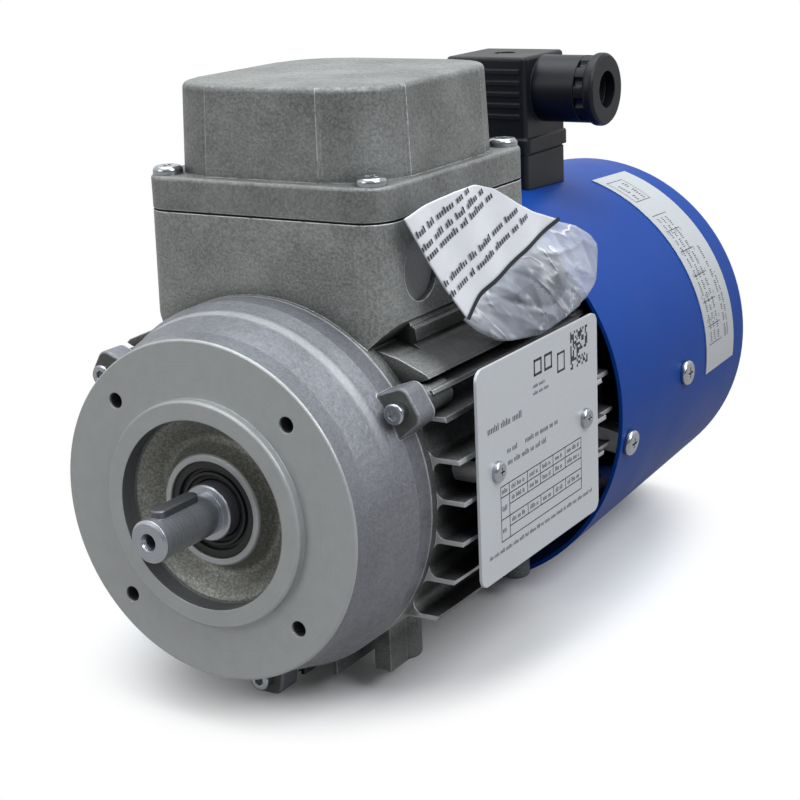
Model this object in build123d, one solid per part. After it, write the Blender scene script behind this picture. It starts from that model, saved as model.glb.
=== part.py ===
from build123d import *
from math import cos, radians, sin
import os

# Small three-phase induction motor with a face flange, a finned frame, a terminal box on top
# and a separately driven cooling fan in a sheet-metal cowl.
# Frame of reference: the shaft lies along Y and points to -Y, +Z is up, +X is the side with the
# rating plate, and the origin is on the shaft axis in the plane of the flange's mating face.
# All lengths are in millimetres.

# Clearances and fits
slip = 0.05
gap = 0.2
soft_gap = 0.3

# Mounting flange and spigot
flange_d = 90.0
bolt_circle_d = 75.0
bolt_count = 4
bolt_hole_d = 4.2
bolt_hole_depth = 9.0
spigot_d = 60.0
spigot_len = 2.5
recess_d = 50.0
recess_wall_end = 2.6
dish_depth = 7.6

# Front shield
shield_len = 27.5
shield_rim_d = 100.0
shield_wall = 4.0
register_len = 4.0
register_wall = 3.0
lug_angles = (30, 150, 270)
lug_circle_d = 106.6
lug_reach = 58.0
lug_base_w = 14.0
lug_tip_w = 10.0
lug_corner = 3.0
lug_face_y = 20.0
lug_edge_radius = 0.7
lug_screw_d = 3.0
lug_head_d = 5.5
lug_head_h = 3.0
lug_socket_d = 2.9

# Frame casting
frame_len = 94.0
frame_wall = 3.5
fin_circle_d = 116.0
fin_pitch = 10.75
fin_lowest_z = -31.2
fin_count = 6
fin_thickness = 1.3
fin_root_radius = 2.4
fin_start = 2.5
eave_fin_z = 29.3
belly_fin_count = 4
belly_fin_d = 112.0
ear_len = 12.0
saddle_reach = 49.1
saddle_front = 31.5
saddle_step_front = 42.0
ear_r = 4.0

# Foot bosses under the frame
foot_x = 27.0
foot_y = (49.0, 113.0)
foot_d = 9.0
foot_z = -53.0
foot_rib_w = 5.0
foot_rib_front = 37.0
foot_rib_h = 18.0

# Terminal box
box_w = 75.0
box_len = 80.0
box_center_y = 69.0
box_corner = 8.5
box_wall = 3.0
box_draft = 1.0
box_foot_z = 38.0
box_foot_chamfer = 7.0
box_seam_z = 70.0
box_floor_z = 53.0
gasket_t = 0.6
cover_flange_t = 8.6
block_w = 69.0
block_len = 73.0
block_h = 23.5
block_flat_w = 35.0
block_bulge = 4.0
block_crease = 0.8
block_draft = 2.5
block_edge_radius = 1.6
cover_wall = 3.0
cover_screw_inset = 5.7
cover_screw_d = 4.0
cover_head_d = 8.0
cover_head_h = 2.2
cover_screw_grip = 12.0
pillar_d = 9.5
lead_slot_back = 19.0
lead_slot_w = 26.0
lead_slot_len = 14.0
entry_y = 46.8
entry_z = 56.0
entry_d = 16.0
entry_depth = 1.2
entry_disc_t = 0.8

# Shaft, key and bearings
shaft_d = 11.0
shaft_end_len = 23.0
shaft_chamfer = 0.7
center_thread_d = 3.3
center_thread_depth = 10.0
center_mouth_d = 4.6
center_mouth_depth = 1.4
key_w = 4.0
key_h = 4.0
key_len = 16.0
key_seat_depth = 2.5
key_from_tip = 3.0
seat_d = 15.0
bearing_od = 35.0
bearing_w = 11.0
bearing_ball_d = 5.6
bearing_ball_count = 8
front_bearing_y = 10.0
rear_bearing_y = 126.0
shoulder_d = 19.0
seal_od = 26.0
seal_w = 5.8
seal_y = 3.0
hub_wall = 4.5

# Electrical parts
core_y = 44.0
core_len = 60.0
air_gap = 0.3
core_bore_d = 54.0
stator_slots = 24
slot_w = 3.6
slot_depth = 10.0
winding_overhang = 11.0
rotor_bars = 18
rotor_bar_d = 4.0
rotor_shaft_d = 20.0
end_ring_t = 7.0
end_ring_w = 9.0

# Rear shield
rear_shield_wall = 4.5
rear_screw_angles = (50, 130, 270)
rear_screw_d = 3.0
wave_washer_t = 0.5
wave_washer_room = 1.4

# Cowl and forced fan
cowl_d = 121.0
cowl_rear_d = 112.0
cowl_t = 1.2
cowl_front_y = 118.6
cowl_seat = 3.5
cowl_rear_y = 229.0
cowl_edge_radius = 4.0
front_cowl_screw_y = 124.8
front_cowl_screw_angles = (-9.4, 189.4, 90.0)
rear_cowl_screw_y = 169.6
rear_cowl_screw_angles = (-0.2, 119.8, 239.8)
cowl_screw_d = 4.0
cowl_screw_len = 7.0
cowl_boss_d = 9.0
cowl_head_d = 7.8
cowl_head_h = 1.8
grille_rings = 6
grille_first_r = 10.0
grille_pitch = 6.8
grille_slot = 4.0
grille_spokes = 6
grille_spoke_w = 4.0
fan_ring_w = 12.0
fan_ring_t = 1.5
fan_arm_w = 9.0
fan_arm_t = 3.0
fan_motor_d = 52.0
fan_motor_len = 32.0
fan_shaft_d = 5.0
fan_d = 102.0
fan_hub_d = 40.0
fan_hub_len = 11.0
fan_blades = 9
fan_blade_t = 1.6
fan_blade_chord = 30.0
fan_root_angle = 30.0
fan_tip_angle = 18.0
fan_gap = 3.0

# Label strip on the cowl
strip_y = 189.0
strip_len = 26.0
strip_angles = (-6.0, 72.0)
strip_t = 0.25

# Rating plate
plate_clearance = 1.6
plate_t = 0.8
plate_y = (33.4, 102.0)
plate_z = (-22.8, 34.7)
plate_corner = 3.0
plate_screw_y = (42.8, 93.8)
plate_screw_z = 6.3
plate_screw_d = 3.0
plate_head_d = 5.6
plate_head_h = 1.6
plate_boss_d = 8.0

# Connector for the fan
plug_y = 165.0
plug_base_w = 27.4
plug_base_len = 26.8
plug_base_h = 9.5
plug_skirt_h = 4.6
plug_skirt_out = 0.8
plug_gasket_t = 0.8
plug_body_h = 30.0
plug_body_w = 27.6
plug_body_len = 27.0
plug_corner = 1.6
plug_wall = 2.4
plug_rib_count = 5
plug_rib_pitch = 3.4
plug_rib_t = 1.4
plug_rib_h = 0.8
plug_socket_w = 18.0
plug_floor_t = 1.0
plug_screw_d = 3.0
gland_drop = 10.6
gland_barrel_d = 20.4
gland_barrel_end = 28.0
gland_nut_end = 34.8
gland_rim_w = 3.8
gland_nut_d = 22.0
gland_bore_d = 11.2
gland_throat_d = 14.0
gland_flutes = 10
cable_hole_d = 14.0

# Accessory bag laid against the side of the terminal box
bag_gap = 11.0
bag_y = 70.0
bag_turn = 78.0
bag_film = 0.6
bag_thick = 11.0
bag_corner = 3.0
bag_seam_high = (21.4, 61.8)
bag_seam_low = (-16.1, 41.9)
pouch_outline = ((-1.3, 35.0), (14.9, 35.2), (26, 35.6), (39, 41.4), (39.8, 52.1), (34.9, 56.6))
header_thick = 2.4
header_shift = -1.0
header_outline = ((6.9, 67.6), (-4.1, 74.3), (-11.4, 76.4), (-37.3, 71.3))
spare_gland_place = (15.5, 47.0)
spare_gland_d = 14.0
spare_gland_len = 8.0

# Sizes that follow from the ones above
frame_r = shield_rim_d / 2
bore_r = frame_r - frame_wall
frame_end = shield_len + frame_len
rear_face = frame_end
core_end = core_y + core_len
seat_r = seat_d / 2
bearing_r = bearing_od / 2
rotor_r = core_bore_d / 2 - air_gap
fin_r = fin_circle_d / 2
cowl_slope = (cowl_d - cowl_rear_d) / 2 / (cowl_rear_y - cowl_front_y)
plate_x = fin_r + plate_clearance
rear_bearing_end = rear_bearing_y + bearing_w
hub_floor = rear_bearing_end + wave_washer_room
cover_z = box_seam_z + gasket_t
cover_flange_top = cover_z + cover_flange_t
lug_circle_r = lug_circle_d / 2
rear_screw_r = frame_r - 1.6
fan_arm_y = rear_cowl_screw_y - fan_arm_t / 2
fan_motor_y = fan_arm_y + fan_arm_t
fan_motor_end = fan_motor_y + fan_motor_len
fan_y = fan_motor_end + fan_gap
foot_rib_end = foot_y[0]
cover_screw_x = box_w / 2 - cover_screw_inset
cover_screw_y = box_len / 2 - cover_screw_inset
cover_screw_places = [
    (x, box_center_y + y) for x in (-cover_screw_x, cover_screw_x) for y in (-cover_screw_y, cover_screw_y)
]
plug_base_top = cowl_d / 2 + plug_base_h - (plug_y - cowl_front_y) * cowl_slope
plug_body_top = plug_base_top + plug_body_h
gland_z = plug_body_top - gland_drop

os.makedirs("parts", exist_ok=True)


def save(name, shape):
    """Write one sub-part to its own file."""
    export_step(shape, f"parts/{name}.step")


def across(y):
    """Plane square to the shaft at y, with X to the right and Z up."""
    return Plane.XZ.offset(-y)


def slab(sketch, y0, y1):
    """Extrude a cross-section of the motor from y0 to y1."""
    return extrude(across(y0) * sketch, amount=y0 - y1)


def tube(y0, y1, r_out, r_in=0.0):
    """Turned disc or ring along the shaft axis."""
    section = Circle(r_out)
    if r_in > 0:
        section -= Circle(r_in)
    return slab(section, y0, y1)


def turned(*points):
    """Body of revolution about the shaft axis from (radius, y) points."""
    outline = make_face(Polyline(*points, close=True))
    return revolve(outline, axis=Axis.Y)


def turned_to(angle, shape):
    """Turn a shape built along +X to an angle about the shaft, counted from +X towards +Z."""
    return Rot(0, -angle, 0) * shape


def upright(x, y, z0, z1, r):
    """Vertical round bar from z0 to z1."""
    return Pos(x, y, (z0 + z1) / 2) * Cylinder(r, z1 - z0)


def sideways(y, z, x0, x1, r):
    """Round bar along X from x0 to x1."""
    return Pos((x0 + x1) / 2, y, z) * Rot(0, 90, 0) * Cylinder(r, x1 - x0)


def along(x, z, y0, y1, r):
    """Round bar parallel to the shaft from y0 to y1."""
    return slab(Pos(x, z) * Circle(r), y0, y1)


def cowl_r(y):
    """Outside radius of the tapered cowl at y."""
    return cowl_d / 2 - (y - cowl_front_y) * cowl_slope


def cowl_in(y):
    """Inside radius of the tapered cowl at y."""
    return cowl_r(y) - cowl_t


def cowl_core(y0, y1, inset):
    """Solid that fills the cowl from y0 to y1, less an inset."""
    return turned((0, y0), (cowl_in(y0) - inset, y0), (cowl_in(y1) - inset, y1), (0, y1))


def pan_head(head_r, head_h):
    """Low domed screw head on the plane z = 0, pointing up."""
    blank = Cylinder(head_r, head_h, align=(Align.CENTER, Align.CENTER, Align.MIN))
    return fillet(blank.edges().sort_by(Axis.Z)[-1], head_h * 0.6)


def pan_screw(head_r, head_h, shank_r, shank_len, recess_r):
    """Pan-head screw, head up on z = 0, with a cross recess."""
    screw = pan_head(head_r, head_h)
    screw += Pos(0, 0, -shank_len / 2) * Cylinder(shank_r, shank_len)
    for turn in (0, 90):
        screw -= Pos(0, 0, head_h) * Rot(0, 0, turn) * Box(2 * recess_r, recess_r * 0.42, head_h)
    return screw


def lug_section():
    """Tapered lug outline along +X, from inside the rim out to its blunt tip."""
    root = frame_r - frame_wall - 1
    half_base = lug_base_w / 2
    half_tip = lug_tip_w / 2
    outline = Polygon(
        (root, -half_base), (lug_reach, -half_tip), (lug_reach, half_tip), (root, half_base), align=None,
    )
    tips = outline.vertices().sort_by(Axis.X)[-2:]
    return fillet(tips, lug_corner)


# Front shield: flange face, spigot, dished recess, bearing hub and three lugs
def make_front_shield():
    flange_r = flange_d / 2
    neck_r = flange_r + 2.9
    hub_r = bearing_r + hub_wall
    seal_r = seal_od / 2
    boss_r = seal_r + 1.9
    boss_y = seal_y - 0.7
    bearing_end = front_bearing_y + bearing_w
    inner_r = frame_r - shield_wall
    lip_y = seal_y + seal_w
    recess_r = recess_d / 2
    spigot_r = spigot_d / 2
    start = (boss_r, boss_y + 0.5)
    end = (recess_r - 0.8, recess_wall_end)
    dish = Spline(start, (boss_r + 0.7, dish_depth - 2.4), (boss_r + 2.6, dish_depth), (recess_r - 4, dish_depth - 2), end)
    skin = make_face(
        Polyline(
            end, (recess_r, recess_wall_end), (recess_r, -spigot_len), (spigot_r - 0.5, -spigot_len),
            (spigot_r, 0.5 - spigot_len), (spigot_r, 0), (flange_r - 0.4, 0), (flange_r, 0.4),
            (flange_r + 0.5, 6), (neck_r, 13.5), (neck_r + 0.9, 17.5),
            (frame_r, 21), (frame_r, shield_len), (bore_r - slip, shield_len),
            (bore_r - slip, shield_len + register_len), (bore_r - register_wall, shield_len + register_len),
            (bore_r - register_wall, shield_len - 3), (inner_r - 4.5, 14.5), (inner_r - 8, 11.5),
            (hub_r + 2.5, 11.5), (hub_r, 14), (hub_r, bearing_end + 1.5), (bearing_r + slip, bearing_end + 1.5),
            (bearing_r + slip, front_bearing_y), (seal_r - 1.6, front_bearing_y), (seal_r - 1.6, lip_y),
            (seal_r, lip_y), (seal_r, boss_y), (boss_r - 0.4, boss_y), start,
        ).edges() + dish.edges()
    )
    shield = revolve(skin, axis=Axis.Y)
    lug = slab(lug_section(), lug_face_y, shield_len)
    lug = fillet(lug.faces().sort_by(Axis.Y)[0].edges(), lug_edge_radius)
    lug -= tube(lug_face_y - 1, shield_len + 1, bore_r - slip)
    lug_hole = along(lug_circle_r, 0, lug_face_y - 1, shield_len + 1, lug_screw_d / 2 + gap)
    for angle in lug_angles:
        shield += turned_to(angle, lug)
        shield -= turned_to(angle, lug_hole)
    for step in range(bolt_count):
        angle = 45 + 360 / bolt_count * step
        shield -= turned_to(angle, along(bolt_circle_d / 2, 0, -1, bolt_hole_depth, bolt_hole_d / 2))
    return shield


# Outer line of the frame casting, seen along the shaft
def frame_section():
    barrel = Circle(frame_r)
    fins = Sketch()
    for step in range(fin_count):
        z = fin_lowest_z + fin_pitch * step
        fins += Pos(0, z) * Rectangle(fin_circle_d, fin_thickness)
    fins += Pos(0, eave_fin_z) * Rectangle(fin_circle_d, fin_thickness * 0.8)
    for step in range(belly_fin_count):
        x = fin_pitch * (step - (belly_fin_count - 1) / 2)
        belly = Rectangle(fin_thickness, belly_fin_d / 2, align=(Align.CENTER, Align.MAX))
        fins += Pos(x, 0) * belly & Circle(belly_fin_d / 2)
    fins = fins & Circle(fin_r)
    section = barrel + fins
    roots = [v for v in section.vertices() if abs(Vector(v.X, v.Y).length - frame_r) < 0.01]
    return fillet(roots, fin_root_radius)


# Saddle that carries the terminal box: a sloped roof, and further back two steps up to the box
def saddle_section(points):
    right = make_face(Polyline((0, 30), *points, (saddle_reach - 2.6, 31.4), (40, 30), close=True))
    return right + mirror(right, about=Plane.YZ)


def make_saddle(rear):
    half = box_w / 2
    eave = ((saddle_reach - 1.9, 33.2), (saddle_reach - 0.9, 32.2))
    roof = saddle_section(((0, box_foot_z), (half - 4.5, box_foot_z), (half + 2.0, 36.4), *eave))
    steps = saddle_section((
        (0, 46), (half - 2, 46), (half - 0.6, 42.4), (half + 0.7, 41.6),
        (half + 1.2, 38.4), (half + 0.3, 37.6), (half + 2.2, 36.4), *eave,
    ))
    return slab(roof, saddle_front, rear) + slab(steps, saddle_step_front, rear)


# Lower part of the terminal box, cut off at 45 degrees towards the barrel at its foot
def make_box_base():
    base = extrude(
        Plane.XY.offset(box_seam_z) * Pos(0, box_center_y) * RectangleRounded(box_w, box_len, box_corner),
        amount=box_foot_z - box_seam_z, taper=-box_draft,
    )
    foot = box_w / 2 + 1
    corner = Polygon(
        (foot, box_foot_z - 1), (foot, box_foot_z + box_foot_chamfer), (foot - box_foot_chamfer - 1, box_foot_z - 1),
        align=None,
    )
    corner = slab(corner, box_center_y - box_len, box_center_y + box_len)
    return base - corner - mirror(corner, about=Plane.YZ)


# Ear of the frame behind a lug: a round boss joined to the barrel by a web
def make_ear():
    ear_end = shield_len + ear_len
    web = Pos((bore_r + lug_circle_r) / 2, 0) * Rectangle(lug_circle_r - bore_r, 2 * ear_r - 1)
    return along(lug_circle_r, 0, shield_len, ear_end, ear_r) + slab(web, shield_len, ear_end)


# Finned frame with the base of the terminal box, the ears and the foot bosses
def make_frame():
    fin_front = shield_len + fin_start
    cowl_seat_r = cowl_in(cowl_front_y) - cowl_seat
    frame = tube(shield_len, frame_end, frame_r) + slab(frame_section(), fin_front, frame_end)
    frame += make_saddle(cowl_front_y - 1.5)
    frame -= tube(cowl_front_y - 6, frame_end + 1, fin_r + 10, cowl_seat_r)
    frame += make_box_base()
    for angle in lug_angles:
        frame += turned_to(angle, make_ear())
    for x in (-foot_x, foot_x):
        for y in foot_y:
            boss = upright(x, y, foot_z, -30, foot_d / 2)
            frame += fillet(boss.edges().sort_by(Axis.Z)[0], 1.5)
        rib = Box(foot_rib_w, foot_rib_end - foot_rib_front, foot_rib_h, align=(Align.CENTER, Align.MIN, Align.MIN))
        frame += Pos(x, foot_rib_front, foot_z) * rib
    for y in plate_screw_y:
        frame += sideways(y, plate_screw_z, 40, plate_x, plate_boss_d / 2)
    frame -= tube(shield_len - 1, frame_end + 1, bore_r)

    room_w = box_w - 2 * box_wall
    room_len = box_len - 2 * box_wall
    room = extrude(
        Plane.XY.offset(box_seam_z) * Pos(0, box_center_y)
        * RectangleRounded(room_w, room_len, box_corner - box_wall),
        amount=box_floor_z - box_seam_z, taper=box_draft,
    )
    for x, y in cover_screw_places:
        room -= upright(x, y, box_floor_z - 1, box_seam_z + 1, pillar_d / 2)
    frame -= room
    frame -= Pos(0, box_center_y + lead_slot_back, box_floor_z) * Box(lead_slot_w, lead_slot_len, 20)
    for x, y in cover_screw_places:
        frame -= upright(x, y, box_seam_z - cover_screw_grip - 1, box_seam_z + 1, cover_screw_d / 2 + slip)
    for angle in lug_angles:
        hole = along(lug_circle_r, 0, shield_len - 1, shield_len + ear_len - 2, lug_screw_d / 2 + slip)
        frame -= turned_to(angle, hole)
    for y in plate_screw_y:
        frame -= sideways(y, plate_screw_z, plate_x - 8, plate_x + 1, plate_screw_d / 2 + slip)
    frame -= sideways(entry_y, entry_z, box_w / 2 - entry_depth - entry_disc_t, box_w, entry_d / 2)
    for angle in rear_screw_angles:
        hole = along(rear_screw_r, 0, frame_end - 9, frame_end + 1, rear_screw_d / 2 + slip)
        frame -= turned_to(angle, hole)
    return frame


# Three screws that hold the front shield to the frame
def make_shield_screws():
    screw = along(lug_circle_r, 0, lug_face_y, shield_len + ear_len - 3, lug_screw_d / 2)
    head = along(lug_circle_r, 0, lug_face_y - lug_head_h, lug_face_y, lug_head_d / 2)
    screw += fillet(head.edges().sort_by(Axis.Y)[0], 0.5)
    socket = Pos(lug_circle_r, 0) * RegularPolygon(lug_socket_d / 2, 6)
    screw -= slab(socket, lug_face_y - lug_head_h - 1, lug_face_y - lug_head_h / 2)
    return [turned_to(angle, screw) for angle in lug_angles]


# Terminal box cover: flanged lid with a raised block, whose corners bulge between its flat sides
def block_outline(shrink=0.0):
    half_w = block_w / 2 - shrink
    half_len = block_len / 2 - shrink
    flat = block_flat_w / 2
    long_flat = half_len - half_w + flat
    bulge = (half_w + flat + shrink) / 2 + (block_bulge - shrink) * cos(radians(45))
    long_bulge = bulge + half_len - half_w
    crease = block_crease
    edges = []
    for sx, sy in ((1, -1), (1, 1), (-1, 1), (-1, -1)):
        front = (sx * (flat + crease), sy * (half_len - crease))
        middle = (sx * bulge, sy * long_bulge)
        side = (sx * (half_w - crease), sy * (long_flat + crease))
        edges.append(Line((sx * flat, sy * half_len), front))
        edges.append(ThreePointArc(front, middle, side))
        edges.append(Line(side, (sx * half_w, sy * long_flat)))
    for sign in (-1, 1):
        edges.append(Line((-flat, sign * half_len), (flat, sign * half_len)))
        edges.append(Line((sign * half_w, -long_flat), (sign * half_w, long_flat)))
    return make_face(edges)


def make_box_cover():
    lid = extrude(
        Plane.XY.offset(cover_z) * Pos(0, box_center_y) * RectangleRounded(box_w, box_len, box_corner),
        amount=cover_flange_t,
    )
    lid = fillet(lid.edges().group_by(Axis.Z)[-1], 1.0)
    block = extrude(
        Plane.XY.offset(cover_flange_top - 1) * Pos(0, box_center_y) * block_outline(),
        amount=block_h + 1, taper=block_draft,
    )
    block = fillet(block.faces().sort_by(Axis.Z)[-1].edges(), block_edge_radius)
    cover = lid + block
    cover -= extrude(
        Plane.XY.offset(cover_z - 1) * Pos(0, box_center_y) * block_outline(cover_wall),
        amount=cover_flange_t + block_h + 1 - cover_wall, taper=block_draft,
    )
    for x, y in cover_screw_places:
        cover -= upright(x, y, cover_z - 1, cover_flange_top + 1, cover_screw_d / 2 + gap)
    return cover


def make_box_gasket():
    inset = 0.8
    rim = RectangleRounded(box_w - 2 * inset, box_len - 2 * inset, box_corner - inset)
    border = 2 * box_wall + 3.0
    ring = rim - RectangleRounded(box_w - border, box_len - border, box_corner - box_wall)
    for x, y in cover_screw_places:
        ring += Pos(x, y - box_center_y) * Circle(pillar_d / 2 - 0.6)
        ring -= Pos(x, y - box_center_y) * Circle(cover_screw_d / 2 + gap)
    return extrude(Plane.XY.offset(box_seam_z) * Pos(0, box_center_y) * (ring & rim), amount=gasket_t)


def make_cover_screws():
    shank_len = cover_flange_t + gasket_t + cover_screw_grip
    screw = pan_screw(cover_head_d / 2, cover_head_h, cover_screw_d / 2, shank_len, 1.9)
    return [Pos(x, y, cover_flange_top) * screw for x, y in cover_screw_places]


# Terminal board with six studs, nuts and three links
board_w = 54.0
board_len = 30.0
board_t = 7.0
board_y = box_center_y - 8.0
stud_pitch_x = 15.0
stud_pitch_y = 14.0
stud_d = 4.0
board_top = box_floor_z + board_t


def stud_places():
    rows = (board_y - stud_pitch_y / 2, board_y + stud_pitch_y / 2)
    return [(x, y) for x in (-stud_pitch_x, 0, stud_pitch_x) for y in rows]


def make_terminal_board():
    blank = Box(board_w, board_len, board_t, align=(Align.CENTER, Align.CENTER, Align.MIN))
    board = Pos(0, board_y, box_floor_z) * blank
    for x in (-stud_pitch_x / 2, stud_pitch_x / 2):
        wall = Box(1.6, board_len, 3.0, align=(Align.CENTER, Align.CENTER, Align.MIN))
        board += Pos(x, board_y, board_top) * wall
    for x, y in stud_places():
        board -= upright(x, y, box_floor_z - 1, board_top + 1, stud_d / 2 + slip)
    for x in (-board_w / 2 + 3, board_w / 2 - 3):
        board -= upright(x, board_y, box_floor_z - 1, board_top + 1, 1.7)
    return board


def make_terminal_studs():
    return [upright(x, y, box_floor_z + gap, board_top + 12, stud_d / 2) for x, y in stud_places()]


def make_terminal_nuts():
    nuts = []
    for x, y in stud_places():
        nut = extrude(RegularPolygon(3.5, 6, major_radius=False), amount=3.2) - Cylinder(stud_d / 2 + slip, 20)
        nuts.append(Pos(x, y, board_top + 0.8) * nut)
    return nuts


def make_terminal_links():
    links = []
    for x in (-stud_pitch_x, 0, stud_pitch_x):
        strip = extrude(SlotCenterToCenter(stud_pitch_y, 8.0), amount=0.8)
        for y in (-stud_pitch_y / 2, stud_pitch_y / 2):
            strip -= Pos(y, 0, 0) * Cylinder(stud_d / 2 + slip, 4)
        links.append(Pos(x, board_y, board_top) * Rot(0, 0, 90) * strip)
    return links


def make_board_screws():
    screw = pan_screw(2.8, 1.8, 1.5, board_t - gap, 1.2)
    return [Pos(x, board_y, board_top) * screw for x in (-board_w / 2 + 3, board_w / 2 - 3)]


def make_earth_screw():
    screw = pan_screw(3.5, 2.2, 2.0, 2.6, 1.6)
    return Pos(-22, box_center_y + 22, box_floor_z + 2.6) * screw


# Shallow blind disc of the side cable entry, seated in its round recess
def make_entry_disc():
    x0 = box_w / 2 - entry_depth - entry_disc_t
    return sideways(entry_y, entry_z, x0, x0 + entry_disc_t, entry_d / 2 - slip)


# Laminated stator core with open slots and its winding
def slot_shape(shrink=0.0):
    inner = core_bore_d / 2 - 1.0 + shrink * 3
    outer = core_bore_d / 2 + slot_depth - shrink
    return Pos((inner + outer) / 2, 0) * Rectangle(outer - inner, slot_w - 2 * shrink)


def make_stator_core():
    section = Circle(bore_r - slip) - Circle(core_bore_d / 2)
    for step in range(stator_slots):
        section -= Rot(0, 0, 360 / stator_slots * step) * slot_shape()
    return slab(section, core_y, core_end)


def make_winding():
    inner_r = core_bore_d / 2 + 2.2
    outer_r = core_bore_d / 2 + slot_depth - 0.2
    winding = None
    for y0, y1 in ((core_y - winding_overhang, core_y - 1.5), (core_end + 1.5, core_end + winding_overhang)):
        coil = tube(y0, y1, outer_r, inner_r)
        coil = fillet(coil.edges(), 2.0)
        winding = coil if winding is None else winding + coil
    for step in range(stator_slots):
        bar = slab(slot_shape(gap), core_y - 3, core_end + 3) - tube(core_y - 4, core_end + 4, inner_r)
        winding += Rot(0, 360 / stator_slots * step, 0) * bar
    return winding


# Rotor shaft with its bearing seats, keyway and centre thread
def make_shaft():
    tip = -shaft_end_len
    front_end = front_bearing_y + bearing_w
    tail = rear_bearing_end + 0.6
    shaft = turned(
        (0, tip), (shaft_d / 2 - shaft_chamfer, tip), (shaft_d / 2, tip + shaft_chamfer), (shaft_d / 2, 0),
        (seat_r - 0.4, 0), (seat_r - slip, 0.4), (seat_r - slip, front_end), (shoulder_d / 2, front_end),
        (shoulder_d / 2, core_y - 10), (rotor_shaft_d / 2, core_y - 8), (rotor_shaft_d / 2, core_end + 8),
        (shoulder_d / 2, core_end + 10), (shoulder_d / 2, rear_bearing_y), (seat_r - slip, rear_bearing_y),
        (seat_r - slip, tail - 0.5), (seat_r - slip - 0.5, tail), (0, tail),
    )
    shaft -= along(0, 0, tip - 1, tip + center_thread_depth, center_thread_d / 2)
    shaft -= turned(
        (0, tip - 0.1), (center_mouth_d / 2, tip - 0.1), (center_mouth_d / 2, tip),
        (center_thread_d / 2, tip + center_mouth_depth), (0, tip + center_mouth_depth),
    )
    seat = key_outline(slip)
    shaft -= Pos(0, 0, shaft_d / 2 - key_seat_depth) * extrude(seat, amount=key_seat_depth + 1)
    return shaft


def key_outline(grow=0.0):
    middle = -shaft_end_len + key_from_tip + key_len / 2
    return Pos(0, middle) * Rot(0, 0, 90) * SlotOverall(key_len + 2 * grow, key_w + 2 * grow)


def make_key():
    key = Pos(0, 0, shaft_d / 2 - key_seat_depth) * extrude(key_outline(), amount=key_h)
    return chamfer(key.edges().group_by(Axis.Z)[-1], 0.3)


# Deep-groove ball bearing split into its rings and balls
def bearing_parts(y0):
    middle = y0 + bearing_w / 2
    track_r = (seat_r + bearing_r) / 2
    groove_r = bearing_ball_d / 2 + 0.15
    groove = revolve(Pos(track_r, middle) * Circle(groove_r), axis=Axis.Y)
    outer = tube(y0, y0 + bearing_w, bearing_r, track_r + 2.0) - groove
    inner = tube(y0, y0 + bearing_w, track_r - 2.0, seat_r) - groove
    balls = []
    for step in range(bearing_ball_count):
        ball = Pos(track_r, middle, 0) * Sphere(bearing_ball_d / 2)
        balls.append(turned_to(360 / bearing_ball_count * step, ball))
    return outer, inner, balls


# Radial lip seal with a grooved face
def make_seal():
    outer = seal_od / 2 - slip
    lip = seat_r + 0.25
    return turned(
        (lip, seal_y + 1.4), (lip + 1.0, seal_y + 1.0), (lip + 1.3, seal_y + 0.3), (lip + 2.0, seal_y + 0.3),
        (lip + 2.2, seal_y + 1.3), (lip + 3.0, seal_y + 1.3), (lip + 3.2, seal_y), (outer, seal_y),
        (outer, seal_y + seal_w - slip), (outer - 1.2, seal_y + seal_w - slip), (outer - 1.4, seal_y + 2.4),
        (lip + 1.0, seal_y + 2.4), (lip + 0.9, seal_y + 4.4), (lip, seal_y + 4.0),
    )


# Rotor laminations, and the cast cage with its end rings and stirring blades
def make_rotor_core():
    section = Circle(rotor_r) - Circle(rotor_shaft_d / 2 + slip)
    for step in range(rotor_bars):
        place = Pos(rotor_r - 1.0 - rotor_bar_d / 2, 0) * Circle(rotor_bar_d / 2 + slip)
        section -= Rot(0, 0, 360 / rotor_bars * step) * place
    return slab(section, core_y, core_end)


def make_rotor_cage():
    bar_r = rotor_r - 1.0 - rotor_bar_d / 2
    ring_out = rotor_r - 0.6
    ring_in = ring_out - end_ring_w
    cage = tube(core_y - end_ring_t, core_y, ring_out, ring_in)
    cage += tube(core_end, core_end + end_ring_t, ring_out, ring_in)
    for step in range(rotor_bars):
        angle = 360 / rotor_bars * step
        cage += turned_to(angle, along(bar_r, 0, core_y - 1, core_end + 1, rotor_bar_d / 2))
    return cage


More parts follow.
